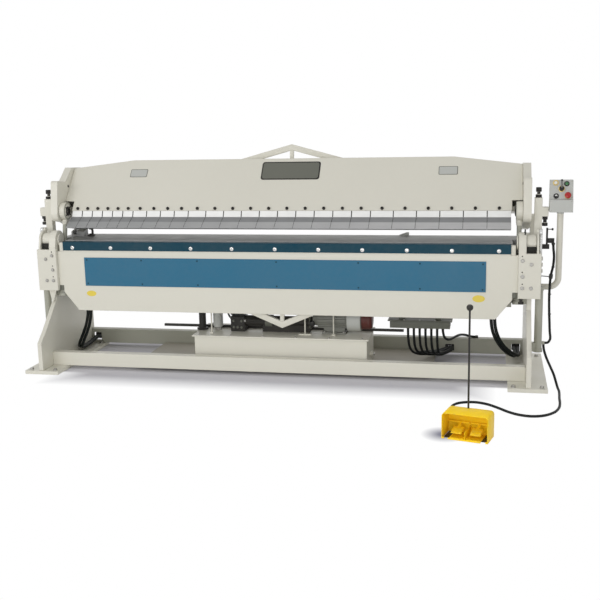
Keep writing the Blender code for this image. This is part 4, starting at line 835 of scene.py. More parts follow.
def hex_bolt(across: float, height: float, washer: float = 0.0) -> Mesh:
    """A hexagon head with a domed chamfer, standing on the origin along +Z.

    Args:
        across: the distance across the flats.
        height: the height of the head.
        washer: the radius of a washer under it, or 0 for none.

    Returns:
        The new object.
    """
    corner = across / math.sqrt(3)
    lift = WASHER if washer else 0.0
    head = turned([(lift, corner), (lift + height * 0.8, corner), (lift + height, corner * 0.84)], sides=6)
    if not washer:
        return head
    disc = turned([(0.0, washer), (lift * 0.7, washer), (lift, washer * 0.96)], sides=18)
    return join(disc, head)


def cap_screw(radius: float, height: float) -> Mesh:
    """A socket-head screw with its hexagon recess, standing on the origin along +Z.

    Args:
        radius: the head's radius.
        height: the head's height.

    Returns:
        The object.
    """
    profile = [(0.0, radius), (height * 0.85, radius), (height, radius * 0.88), (height, radius * 0.52)]
    socket = [(height * 0.45, radius * 0.5), (height + 0.001, radius * 0.5)]
    return cut(turned(profile, sides=18), turned(socket, sides=6))


def cut(made: Mesh, tool: Mesh) -> Mesh:
    """Cuts the tool out of a piece and removes it.

    Args:
        made: the piece that is cut.
        tool: the mesh that is taken out of it.

    Returns:
        The piece.
    """
    modify(made, "BOOLEAN", operation="DIFFERENCE", solver="EXACT", object=tool)
    bpy.data.objects.remove(tool)
    return made


def smooth_path(points: Route, pieces: int = 4) -> list[Vector]:
    """A Catmull-Rom curve through the points.

    Args:
        points: the points that it passes through.
        pieces: how many stretches are made of each one.

    Returns:
        The finer row of points.
    """
    knots = [Vector(p) for p in points]
    knots = [2 * knots[0] - knots[1]] + knots + [2 * knots[-1] - knots[-2]]
    path = []
    for a, b, c, d in zip(knots, knots[1:], knots[2:], knots[3:]):
        for t in (i / pieces for i in range(pieces)):
            square, cube = 2 * a - 5 * b + 4 * c - d, 3 * b - a - 3 * c + d
            path.append(0.5 * (2 * b + (c - a) * t + square * t * t + cube * t ** 3))
    return path + [knots[-2]]


class Bench:
    """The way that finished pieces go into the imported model."""

    def __init__(self, palette: Palette, place: Vector) -> None:
        """Keeps the finishes and the place of the machine's own frame.

        Args:
            palette: the machine's finishes.
            place: how far the machine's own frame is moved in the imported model.
        """
        self.palette = palette
        self.slots = {paint: slot for slot, paints in SLOTS.items() for paint in paints}
        self.closed = Matrix.Translation(place)
        turn = Matrix.Translation(PIVOT) @ Matrix.Rotation(-OPEN_ANGLE, 4, "X") @ Matrix.Translation(-PIVOT)
        self.raised = self.closed @ turn
        self.count = 0

    def line(self, points: Route, radius: float) -> Mesh:
        """A round bar along a path, as a curve of one open line.

        Args:
            points: the path in the machine's own frame.
            radius: the bar's radius.

        Returns:
            The new curve object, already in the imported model's frame.
        """
        data = bpy.data.curves.new("line", "CURVE")
        data.dimensions = "3D"
        data.bevel_depth = radius
        data.bevel_resolution = 4
        data.use_fill_caps = True
        spline = data.splines.new("POLY")
        spline.points.add(len(points) - 1)
        for spot, point in zip(spline.points, points):
            spot.co = (*(self.closed @ Vector(point)), 1.0)
        return link("line", data)

    def fit(
        self, name: str, paint: Paint, *parts: Mesh,
        body: Body = Body.FRAME, slot: str = "", raised: bool = False, node: str = "",
    ) -> Mesh:
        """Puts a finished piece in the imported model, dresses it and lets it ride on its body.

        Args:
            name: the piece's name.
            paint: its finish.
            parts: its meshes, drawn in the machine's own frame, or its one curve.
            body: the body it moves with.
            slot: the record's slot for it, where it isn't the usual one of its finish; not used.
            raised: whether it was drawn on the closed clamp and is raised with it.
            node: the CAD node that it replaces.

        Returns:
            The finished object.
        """
        made = join(*parts)
        made.name = made.data.name = name
        if made.type == "MESH":
            move(made, self.raised if raised else self.closed)
            bpy.ops.object.shade_smooth_by_angle(angle=SMOOTH)
        made.data.materials.clear()
        made.data.materials.append(self.palette[paint])
        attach(made, body.value)
        if node:
            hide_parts(node)
        self.count += 1
        LOG.info("%s rides on %s in %s", name, body.value, paint.value)
        return made


@dataclass
class Studio:
    """The camera at the photograph's place, the pale floor and the soft lamps."""

    place: Triple = (1.32475, -5.64978, 1.723)
    yaw: float = math.radians(11.83)
    pitch: float = math.radians(11.3)
    roll: float = math.radians(-1.24)
    lens: float = 55.27
    floor_size: float = 60.0
    # the spans below say where the floor glows white and where the camera sees it matte, in its painted-shade tint
    sides: Pair = (1.64, 1.76)
    corner: Pair = (1.24, 1.52)
    beam: Pair = (0.135, 0.105)
    front: Pair = (0.06, -0.19)
    back: Pair = (0.95, 1.35)
    # pedal and pedal_shade: the centre and the radii of a painted shadow on the floor beside the foot switch
    pedal: Triple = (1.098, -0.805, 0.0)
    pedal_shade: Pair = (0.03, 0.13)
    middle_x: float = -0.069
    shade_x: float = -0.14
    sky: float = 0.57
    lamps: tuple[tuple[str, Triple, Triple, float, float, float], ...] = (
        ("key_lamp", (-3.6, -6.0, 2.9), (-0.1, 0.2, 0.8), 3.2, 96.0, 180.0),
        ("fill_lamp", (4.4, -5.4, 2.0), (0.2, 0.2, 0.8), 3.0, 9.0, 180.0),
        ("low_lamp", (0.4, -7.2, 1.1), (0.0, 0.2, 0.6), 2.6, 70.0, 180.0),
        ("pedal_lamp", (0.95, -1.15, 1.6), (1.13, -0.83, 0.0), 0.8, 0.85, 60.0),
    )

    def camera(self) -> None:
        """Makes the camera, which stands where the photograph's did."""
        data = bpy.data.cameras.new("camera")
        data.sensor_width = 36.0
        data.lens = self.lens
        data.clip_end = 200.0
        made = link("camera", data)
        level = Vector((math.cos(self.yaw), math.sin(self.yaw), 0.0))
        ahead = Vector((-math.sin(self.yaw), math.cos(self.yaw), 0.0))
        forward = math.cos(self.pitch) * ahead - math.sin(self.pitch) * Vector(UP)
        above = level.cross(forward)
        right = math.cos(self.roll) * level + math.sin(self.roll) * above
        up = -math.sin(self.roll) * level + math.cos(self.roll) * above
        turn = Matrix((right, up, -forward)).transposed().to_4x4()
        made.matrix_world = Matrix.Translation(Vector(self.place)) @ turn
        bpy.context.scene.camera = made

    @staticmethod
    def _seen(graph: Graph) -> Socket:
        """A mask of the rays that show the background: from the camera, a mirror or glass.

        Args:
            graph: the graph of the world's nodes.

        Returns:
            The mask's socket.
        """
        light = graph.add("LightPath")
        seen = graph.sum("MAXIMUM", light.outputs["Is Camera Ray"], light.outputs["Is Glossy Ray"])
        return graph.sum("MAXIMUM", seen, light.outputs["Is Transmission Ray"])

    def world(self) -> None:
        """Lights the scene from all round, with a white that the camera sees."""
        made = bpy.data.worlds.new("studio")
        made.use_nodes = True
        bpy.context.scene.world = made
        graph = Graph(made.node_tree)
        shader = made.node_tree.nodes["Background"]
        shader.inputs["Color"].default_value = (1.0, 1.0, 1.0, 1.0)
        graph.join(graph.span(self._seen(graph), 0.0, 1.0, self.sky, 1.0), shader.inputs["Strength"])

    def floor(self) -> None:
        """A wide pale floor that keeps the machine's shadow and turns white farther away. The camera sees its matte
        part in a darker bluish tint, painted shade, and a painted shadow lies beside the foot switch.
        """
        bpy.ops.object.select_all(action="DESELECT")
        bpy.ops.mesh.primitive_grid_add(x_subdivisions=8, y_subdivisions=8, size=self.floor_size, location=(0, 0, 0))
        made = bpy.context.object
        made.name = made.data.name = "floor"
        paint = bpy.data.materials.new("floor_paper")
        paint.use_nodes = True
        graph = Graph(paint.node_tree)
        matt = paint.node_tree.nodes["Principled BSDF"]
        matt.inputs["Roughness"].default_value = 0.95
        matt.inputs["Specular IOR Level"].default_value = 0.1
        split = graph.add("SeparateXYZ")
        place = graph.place()
        graph.join(place, split.inputs[0])
        reach = graph.sum("ABSOLUTE", graph.sum("SUBTRACT", split.outputs["X"], self.middle_x), 0.0)
        before = graph.span(split.outputs["Y"], *self.beam)
        inner = graph.sum("ABSOLUTE", graph.sum("SUBTRACT", split.outputs["X"], self.shade_x), 0.0)
        corner = graph.sum("MULTIPLY", graph.span(inner, *self.corner), before)
        ahead = graph.span(split.outputs["Y"], *self.front)
        behind = graph.span(split.outputs["Y"], *self.back)
        share = graph.sum(
            "MAXIMUM", graph.sum("MAXIMUM", graph.span(reach, *self.sides), ahead),
            graph.sum("MAXIMUM", behind, corner),
        )
        shown = self._seen(graph)
        # camera rays see the matte floor in a darker bluish tint, painted shade; other rays meet the pale 0.93
        graph.join(graph.mix(shown, (0.93, 0.93, 0.93), (0.7, 0.69, 0.74)), matt.inputs["Base Color"])
        away = graph.add("VectorMath", operation="DISTANCE")
        away.inputs[1].default_value = self.pedal
        graph.join(place, away.inputs[0])
        share = graph.sum("MULTIPLY", share, shown)
        # the white glow darkens to a bluish grey near the foot switch: a painted shadow
        glow_and_painted_shadow = graph.add("Emission")
        graph.join(
            graph.mix(graph.span(away.outputs["Value"], *self.pedal_shade), (0.26, 0.26, 0.31), (1.0, 1.0, 1.0)),
            glow_and_painted_shadow.inputs["Color"],
        )
        mixed = graph.add("MixShader")
        graph.join(share, mixed.inputs[0])
        graph.join(matt.outputs[0], mixed.inputs[1])
        graph.join(glow_and_painted_shadow.outputs[0], mixed.inputs[2])
        graph.join(mixed.outputs[0], paint.node_tree.nodes["Material Output"].inputs["Surface"])
        made.data.materials.append(paint)

    def light(self) -> None:
        """Hangs the soft lamps and aims them."""
        for name, place, aim, size, power, spread in self.lamps:
            data = bpy.data.lights.new(name, "AREA")
            data.shape = "DISK"
            data.size = size
            data.energy = power
            data.spread = math.radians(spread)
            made = link(name, data)
            made.location = place
            made.rotation_euler = (Vector(aim) - Vector(place)).to_track_quat("-Z", "Y").to_euler()

    def build(self) -> None:
        """Sets the whole studio up."""
        bpy.context.scene.view_settings.view_transform = "Standard"
        self.camera()
        self.world()
        self.floor()
        self.light()


@dataclass
class Harness:
    """The control cables, the hydraulic hoses and the two switch leads, with their fittings."""

    bench: Bench
    cable_r: float = 0.0085
    hose_r: float = 0.011
    hose_pitch: float = 0.0232
    lead_r: float = 0.008
    first_x: float = 0.854
    pitch: float = 0.0395
    port_x: float = 1.1225
    low_z: float = 0.057
    row: float = 0.0175
    web_y: float = 0.56
    box_low: float = 0.295
    drop: Route = ((0.0, 0.21, 0.29), (0.0, 0.21, 0.25), (0.01, 0.212, 0.2), (0.04, 0.22, 0.15), (0.12, 0.245, 0.108))
    run: Route = ((0.29, 0.295, 0.022), (0.52, 0.36, 0.008), (0.76, 0.435, 0.002), (0.95, 0.5, 0.0))
    feed: Route = (
        (1.09, 0.21, 0.29), (1.091, 0.213, 0.26), (1.1, 0.226, 0.222), (1.118, 0.258, 0.198), (1.142, 0.31, 0.189),
        (1.17, 0.38, 0.19), (1.2, 0.45, 0.187), (1.232, 0.52, 0.17), (1.258, 0.566, 0.152), (1.282, 0.586, 0.143),
        (1.3097, 0.59, 0.1418),
    )
    hose_right: Route = (
        (1.42, 0.2, 0.475), (1.42, 0.2, 0.41), (1.422, 0.2, 0.35), (1.428, 0.202, 0.3), (1.442, 0.208, 0.25),
        (1.465, 0.22, 0.2), (1.496, 0.238, 0.155), (1.532, 0.262, 0.118), (1.563, 0.296, 0.092), (1.583, 0.342, 0.076),
        (1.591, 0.4, 0.07), (1.589, 0.46, 0.07), (1.586, 0.515, 0.074), (1.585, 0.56, 0.0755), (1.585, 0.585, 0.0755),
    )
    hose_left: Route = (
        (-1.49, 0.232, 0.475), (-1.49, 0.232, 0.41), (-1.491, 0.232, 0.345), (-1.497, 0.232, 0.295),
        (-1.512, 0.232, 0.24), (-1.534, 0.232, 0.185), (-1.558, 0.234, 0.135), (-1.579, 0.242, 0.094),
        (-1.594, 0.27, 0.065), (-1.6, 0.32, 0.052), (-1.6, 0.38, 0.051), (-1.597, 0.44, 0.055), (-1.591, 0.5, 0.067),
        (-1.586, 0.555, 0.0755), (-1.585, 0.585, 0.0755),
    )
    control_lead: Route = (
        (1.7915, 0.125, 0.884), (1.7935, 0.123, 0.85), (1.798, 0.114, 0.8), (1.793, 0.098, 0.74), (1.78, 0.086, 0.68),
        (1.775, 0.08, 0.61), (1.774, 0.078, 0.54), (1.776, 0.075, 0.46), (1.78, 0.07, 0.38), (1.783, 0.062, 0.32),
        (1.787, 0.05, 0.276), (1.777, 0.037, 0.255), (1.764, 0.0305, 0.2492), (1.7508, 0.03, 0.249),
    )
    pedal_lead: Route = (
        (1.744, 0.03, 0.2397), (1.7448, 0.029, 0.222), (1.751, 0.022, 0.192), (1.766, 0.006, 0.15),
        (1.788, -0.02, 0.105), (1.808, -0.06, 0.065), (1.82, -0.11, 0.03), (1.827, -0.17, 0.01), (1.831, -0.24, 0.0062),
        (1.828, -0.32, 0.0058), (1.823, -0.4, 0.0058), (1.82, -0.49, 0.0058), (1.808, -0.585, 0.0058),
        (1.776, -0.672, 0.0058), (1.717, -0.738, 0.0058), (1.645, -0.762, 0.0058), (1.575, -0.744, 0.0058),
        (1.515, -0.698, 0.0058), (1.455, -0.628, 0.0058), (1.396, -0.57, 0.0058), (1.332, -0.54, 0.0058),
        (1.268, -0.546, 0.0058), (1.216, -0.579, 0.0058), (1.187, -0.645, 0.0058), (1.19, -0.722, 0.0058),
        (1.213, -0.796, 0.0062), (1.236, -0.866, 0.0105), (1.2425, -0.926, 0.0215), (1.2362, -0.9774, 0.0298),
        (1.2306, -0.9998, 0.03), (1.22773, -1.01132, 0.03),
    )

    @property
    def hoses(self) -> dict[str, Route]:
        """The middle line of each side's pair of hoses."""
        return {"right": self.hose_right, "left": self.hose_left}

    def cable_route(self, index: int) -> list[Sequence[float]]:
        """The route of one of the six cables from the junction box to the rear beam's port.

        Args:
            index: which cable, from the left.

        Returns:
            The points of its route.
        """
        start = self.first_x + index * self.pitch
        column, row = divmod(index, 2)
        end_x = self.port_x + (column - 1) * self.row
        end_z = self.low_z + row * self.row
        shift = end_x - start
        route = [(start + shift * part, y, z) for part, y, z in self.drop]
        route += [(start + shift * part, y, end_z + lift) for part, y, lift in self.run]
        return route + [(end_x, self.web_y - 0.015, end_z), (end_x, self.web_y + 0.02, end_z)]

    @staticmethod
    def beside(route: Route, shift: float) -> list[Vector]:
        """A route moved sideways, for the second hose of a pair.

        Args:
            route: the points of the pair's middle line.
            shift: how far it is moved.

        Returns:
            The moved points.
        """
        points = [Vector(p) for p in route]
        moved = []
        for i, point in enumerate(points):
            before, after = points[max(i - 1, 0)], points[min(i + 1, len(points) - 1)]
            moved.append(point + shift * (after - before).cross(Vector((0.0, 0.8, 0.6))).normalized())
        return moved

    def cord(
        self, name: str, route: Route, radius: float, node: str,
        paint: Paint = Paint.RUBBER,
    ) -> None:
        """Makes one cord and lets it stand for its solid.

        Args:
            name: the piece's name.
            route: the points that it passes through.
            radius: its radius.
            node: the CAD node that holds its solid.
            paint: its finish.
        """
        path = smooth_path(route)
        for point in path:
            point.z = max(point.z, radius + 0.0003)
        made = self.bench.fit(name, paint, self.bench.line(path, radius), node=node)

    def pair(self, route: Route) -> list[list[Vector]]:
        """The two routes of a pair of hoses that lie side by side."""
        return [self.beside(route, shift) for shift in (-self.hose_pitch / 2, self.hose_pitch / 2)]

    def fittings(self) -> None:
        """The glands, swivels, grommets and clips at the ends of the cords."""
        bench = self.bench
        neck = [(0.009, 0.01), (0.014, 0.01), (0.024, 0.0078)]
        gland = join(hex_bolt(0.024, 0.011), turned(neck, sides=16))
        spots = [(self.first_x + i * self.pitch, 0.21) for i in range(6)] + [self.feed[0][:2]]
        bench.fit("cable_glands", Paint.BLACK, copies(gland, [facing((*spot, self.box_low), DOWN) for spot in spots]))
        x, y, z = self.port_x, self.web_y, self.low_z
        rim = box((x - 0.031, x + 0.031), (y - 0.003, y + 0.012), (z - 0.013, z + 0.031), 0.003)
        hole = box((x - 0.0255, x + 0.0255), (y - 0.02, y + 0.02), (z - 0.0085, z + self.row + 0.0085), 0.004)
        bench.fit("port_grommet", Paint.RUBBER, cut(rim, hole))
        bench.fit("feed_clip", Paint.BLACK, box((1.3017, 1.3217), (0.578, 0.602), (0.1343, 0.1512), 0.003))
        swivel = [(0.0, 0.0155), (0.018, 0.0155), (0.019, 0.0132), (0.058, 0.0132), (0.062, 0.0115)]
        for side, route in self.hoses.items():
            parts = [
                turned(swivel, path[0] + Vector((0, 0, 0.0047)), path[1] - path[0], 16) for path in self.pair(route)
            ]
            bench.fit(f"hose_swivels_{side}", Paint.ZINC, *parts)
            x, y, z = route[-1]
            sleeve = box((x - 0.0275, x + 0.0275), (y - 0.004, y + 0.02), (z - 0.0225, z + 0.0225), 0.003)
            bench.fit(f"port_bulkhead_{side}", Paint.DARK, sleeve)

    def ties(self) -> None:
        """The cable ties and the joint that hold the switch leads."""
        bench, parts = self.bench, []
        band = [(0.0, self.lead_r + 0.0016), (0.0045, self.lead_r + 0.0016)]
        for x, y, z in ((1.792, 0.097, 0.735), (1.7745, 0.0785, 0.56), (1.7775, 0.0735, 0.43)):
            parts.append(turned(band, (x, y, z - 0.002), (0.0, 0.06, 1.0), 16))
            parts.append(box((x + 0.004, x + 0.011), (y - 0.004, y + 0.004), (z - 0.003, z + 0.004), 0.0012))
        joint = [(0.0, 0.01), (0.004, 0.0125), (0.026, 0.0125), (0.032, 0.01)]
        parts.append(turned(joint, (1.7822, 0.0875, 0.692), (-0.1, -0.1, -1.0), 16))
        parts.append(rod((1.715, 0.112, 0.674), (1.776, 0.088, 0.674), 0.003, 10))
        bench.fit("lead_ties", Paint.KNOB, *parts)

    def build(self) -> None:
        """Makes every cord and its fittings."""
        for index, route in enumerate([*map(self.cable_route, range(6)), self.feed], 1):
            self.cord(f"control_cable_{index}", route, self.cable_r, "control_loom")
        for side, route in self.hoses.items():
            for index, path in enumerate(self.pair(route), 1):
                name = f"pressure_hose_{side}_{index}"
                self.cord(name, path, self.hose_r, f"hydraulic_hoses_{side}", Paint.HOSE)
        self.cord("switch_lead", self.control_lead, self.lead_r, "control_lead")
        self.cord("foot_switch_lead", self.pedal_lead, self.lead_r, "pedal_lead")
        self.fittings()
        self.ties()


@dataclass
class Clamp:
    """The finger run, the clamp beam and its arms, drawn closed and raised with the clamp."""

    bench: Bench
    nose_y: float = 0.123
    nose_z: float = 1.0253
    lean: float = 0.5691
    pin_x: float = 1.5462
    bore_x: float = 1.5775
    plug: Triple = (1.5971, 0.2045, 1.208)
    screw_up: float = 0.017
    bolt_x: float = -1.4
    bolt_step: float = 0.4
    # painted shadow strips over the finger slits: front corner (Y, Z), back corner (Y, Z) and half width of each band
    slit_shadow_bands: tuple[tuple[Pair, Pair, float], ...] = (
        ((0.1172, 0.984), (0.1258, 1.0245), 0.003),
        ((0.0632, 0.9465), (0.117, 0.982), 0.0012),
        ((0.0125, 0.9028), (0.063, 0.946), 0.001),
    )
    plates: tuple[tuple[str, float, float, float, float, Paint, float], ...] = (
        ("name_plate", 0.028, 0.33, 0.415, 0.15, Paint.BLACK, 0.0015),
        ("name_plate_field", 0.028, 0.33, 0.397, 0.132, Paint.BOX, 0.0028),
        ("label_rim_1", -1.085, 0.32, 0.128, 0.068, Paint.BOX, 0.0006),
        ("blank_label_1", -1.085, 0.32, 0.12, 0.06, Paint.PENDANT, 0.0012),
        ("label_rim_2", 1.11, 0.32, 0.128, 0.068, Paint.BOX, 0.0006),
        ("blank_label_2", 1.11, 0.32, 0.12, 0.06, Paint.PENDANT, 0.0012),
    )

    def on_face(self, x: float, along: float, out: float = 0.0) -> Vector:
        """A point on the beam's leaning front.

        Args:
            x: its place along the machine.
            along: how far up the leaning face it is.
            out: how far it stands proud of the face.

        Returns:
            The point on the closed clamp.
        """
        slope = Vector((0.0, self.lean, 1.0)).normalized()
        return Vector((x, self.nose_y, self.nose_z)) + along * slope + out * self.normal()

    def normal(self) -> Vector:
        """The way that the beam's leaning front faces."""
        return Vector((0.0, -1.0, self.lean)).normalized()

    def fingers(self) -> None:
        """One black socket screw over the middle of each finger, and dark strips over the slits between the fingers,
        which paint the shade in the gaps.
        """
        bench = self.bench
        edges = [(sum(FINGER_INCHES[:i]) - sum(FINGER_INCHES) / 2) * INCH for i in range(len(FINGER_INCHES) + 1)]
        places = [facing(self.on_face((a + b) / 2, self.screw_up), self.normal()) for a, b in zip(edges, edges[1:])]
        bench.fit("finger_screws", Paint.BLACK, copies(cap_screw(0.0105, 0.011), places), body=Body.CLAMP, raised=True)
        # dark strips over the gaps between fingers: painted shadow
        shadow_strips = []
        for x in edges[1:-1]:
            for (y, z), (back, top), half in self.slit_shadow_bands:
                corners = [(x - half, y, z), (x + half, y, z), (x + half, back, top), (x - half, back, top)]
                shadow_strips.append(plate(corners, (0, -0.0006, 0.0002), 0))
        bench.fit("finger_slit_shadows", Paint.DARK, *shadow_strips, body=Body.CLAMP, raised=True)

    def plain_plate(
        self, name: str, x: float, along: float, width: float, height: float, paint: Paint, thick: float,
    ) -> None:
        """A blank plate with rounded corners on the beam's leaning front.

        Args:
            name: the piece's name.
            x: the middle of the plate.
            along: how far up the face its middle is.
            width: its width.
            height: its height.
            paint: its finish.
            thick: its thickness.
        """
        radius, corners = min(width, height) * 0.12, []
        for sx, sz, start in ((1, -1, -90), (1, 1, 0), (-1, 1, 90), (-1, -1, 180)):
            for angle in (math.radians(start + 30 * step) for step in range(4)):
                u = sx * (width / 2 - radius) + radius * math.cos(angle)
                v = sz * (height / 2 - radius) + radius * math.sin(angle)
                corners.append(self.on_face(x + u, along + v, 0.0001))
        self.bench.fit(name, paint, plate(corners, self.normal() * thick, 0.0005, 1), body=Body.CLAMP, raised=True)

    def eye_ends(self) -> None:
        """The black collar on each arm's pin, a dark disc deep in its bore that paints the bore's shade, and the tapped
        hole above them.
        """
        bench = self.bench
        for side, sign in SIDES:
            out, inward, start = (sign, 0, 0), (-sign, 0, 0), (sign * self.pin_x, *EYE)
            collar = turned([(0.0, 0.0285), (0.002, 0.0308), (0.016, 0.0308)], start, out, 28)
            collar = cut(collar, turned([(-0.01, 0.0216), (0.03, 0.0216)], start, out, 24))
            # a dark disc inside the bore: painted shade
            bore = turned([(0.0, 0.0212), (0.0015, 0.0212)], (sign * self.bore_x, *EYE), inward, 24)
            plug = turned(
                [(0.0, 0.0095), (0.0018, 0.0095), (0.0026, 0.008)], (sign * self.plug[0], *self.plug[1:]), inward,
            )
            for name, paint, made in (
                ("pin_collar", Paint.BLACK, collar), ("pin_bore_shade", Paint.DARK, bore), ("arm_plug", Paint.BLACK, plug),
            ):
                bench.fit(f"{name}_{side}", paint, made, body=Body.CLAMP, raised=True)

    def build(self) -> None:
        """Makes every piece of the clamp."""
        bench = self.bench
        self.fingers()
        self.eye_ends()
        truss = rail(0.0, 0.41, 1.4033, 0.112, (0.44, 0.465))
        bench.fit("top_rail", Paint.CREAM, truss, body=Body.CLAMP, raised=True, node="top_truss")
        places = [
            facing((self.bolt_x + self.bolt_step * i, 0.4699, z), BACK, 0.2 * i) for i in range(8) for z in (1.07, 1.29)
        ]
        bench.fit("beam_bolts", Paint.ZINC, copies(hex_bolt(0.024, 0.01, 0.018), places), body=Body.CLAMP, raised=True)
        for values in self.plates:
            self.plain_plate(*values)


@dataclass
class Apron:
    """The bolts, screws and blank labels of the swinging apron."""

    bench: Bench
    bar_front: float = -0.0583
    cover_front: float = -0.0543
    front: float = -0.05
    block_front: float = -0.0779
    bar_bolt_x: tuple[float, ...] = (-1.452, -1.169, -0.879, -0.591, -0.303, -0.006, 0.288, 0.579, 0.869, 1.156, 1.45)
    cover_screw_x: tuple[float, ...] = (-1.352, -0.952, -0.551, 0.0, 0.551, 0.953, 1.352)
    ovals: Route = ((-1.334, 0.535, 0.036, 0.02), (1.328, 0.547, 0.04, 0.023))
    bolt_spots: tuple[tuple[Pair, ...], ...] = (
        ((-1.601, 0.803), (-1.649, 0.778), (-1.601, 0.703), (-1.601, 0.627), (-1.649, 0.627)),
        ((1.597, 0.8), (1.651, 0.777), (1.597, 0.699), (1.597, 0.625), (1.651, 0.625)),
    )
    dot_spots: tuple[tuple[Pair, ...], ...] = (
        ((-1.601, 0.829), (-1.601, 0.73), (-1.601, 0.654)),
        ((1.594, 0.829), (1.595, 0.727), (1.597, 0.651)),
    )

    def fit(self, name: str, paint: Paint, *parts: Mesh, slot: str = "") -> None:
        """Fits a piece that rides on the apron."""
        self.bench.fit(name, paint, *parts, body=Body.APRON, slot=slot)

    def screws(self) -> None:
        """The bright button bolts of the blade bar and the small painted screws round the blue cover."""
        head = turned([(0.0, 0.0135), (0.0012, 0.0135), (0.0027, 0.0118), (0.0033, 0.0075)])
        head = cut(head, turned([(0.001, 0.005), (0.005, 0.005)], sides=6))
        places = [facing((x, self.bar_front, 0.8575), FRONT, 0.3 * i) for i, x in enumerate(self.bar_bolt_x)]
        self.fit("bar_bolts", Paint.ROD, copies(head, places))
        screw = turned([(0.0, 0.0055), (0.0015, 0.0055), (0.003, 0.0035)], sides=14)
        places = [facing((x, self.cover_front, z), FRONT) for x in self.cover_screw_x for z in (0.607, 0.772)]
        self.fit("cover_screws", Paint.BAR, copies(screw, places))

    def labels(self) -> None:
        """The two blank yellow oval labels."""
        parts, steps = [], [math.radians(15 * i) for i in range(24)]
        for x, z, a, b in self.ovals:
            ring = [(x + a * math.cos(t), self.front - 0.0001, z + b * math.sin(t)) for t in steps]
            parts.append(plate(ring, (0, -0.0008, 0), 0.0003, 1))
        self.fit("oval_labels", Paint.OVAL, *parts)

    def end_blocks(self) -> None:
        """The small blocks at the apron's ends, among them a stop lug in painted shade and a dark plate that paints the
        shade in each hinge block's window, and its dark blade line, stop screw and latch plate.
        """
        blocks = (
            # the stop lug is beige paint, given the dark box enamel: painted shade
            ("stop_lug", Paint.BOX, (1.5385, 1.5705), (-0.046, -0.024), (0.556, 0.5895), 0.002, "beige_paint"),
            ("bar_end", Paint.CREAM, (1.5245, 1.5535), (-0.05, -0.022), (0.8305, 0.893), 0.002, ""),
            # a dark plate in the hinge block's window: painted shade
            ("window_shade_plate", Paint.DARK, (1.6215, 1.6785), (-0.06, -0.056), (0.846, 0.886), 0.001, ""),
        )
        for side, sign in SIDES:
            for name, paint, x, y, z, edge, slot in blocks:
                self.fit(f"{name}_{side}", paint, box(tuple(sorted((sign * x[0], sign * x[1]))), y, z, edge), slot=slot)
        self.fit("blade_line", Paint.BAR, box((-1.5235, 1.5235), (-0.0583, -0.005), (0.8972, 0.8982), 0))
        head = hex_bolt(0.03, 0.012)
        shank = rod((0, 0, -0.026), (0, 0, 0.001), 0.009)
        nut = hex_bolt(0.026, 0.009)
        nut.location.z = -0.028
        screw = copies(join(shank, nut, head), [facing((1.592, -0.049, 0.5285), DOWN)])
        self.fit("apron_stop_screw", Paint.BLACK, screw)
        corners = ((-1.666, 0.5569), (-1.607, 0.5569), (-1.634, 0.47), (-1.648, 0.463))
        self.fit("apron_latch_left", Paint.CREAM, plate([(x, -0.03, z) for x, z in corners], (0, 0.012, 0)))

    def block_bolts(self) -> None:
        """The hexagon bolts and the small set screws in front of the two hinge blocks."""
        y = self.block_front
        for (side, _), bolts, dots in zip(SIDES, self.bolt_spots, self.dot_spots):
            places = [facing((x, y, z), FRONT, 0.4 * i) for i, (x, z) in enumerate(bolts)]
            self.fit(f"block_bolts_{side}", Paint.ZINC, copies(hex_bolt(0.018, 0.008, 0.0125), places))
            dot = turned([(0.0, 0.0042), (0.0014, 0.0036)], sides=12)
            self.fit(f"set_screws_{side}", Paint.DARK, copies(dot, [facing((x, y, z), FRONT) for x, z in dots]))

    def build(self) -> None:
        """Makes every piece of the apron."""
        self.screws()
        self.labels()
        self.end_blocks()
        self.block_bolts()
        low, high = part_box("apron_truss")
        depth = tuple(corner[1] - self.bench.closed.translation.y for corner in (low, high))
        truss = rail(0.022, 0.33, high[2], low[2] - high[2], depth)
        self.bench.fit("low_rail", Paint.CREAM, truss, body=Body.APRON, node="apron_truss")


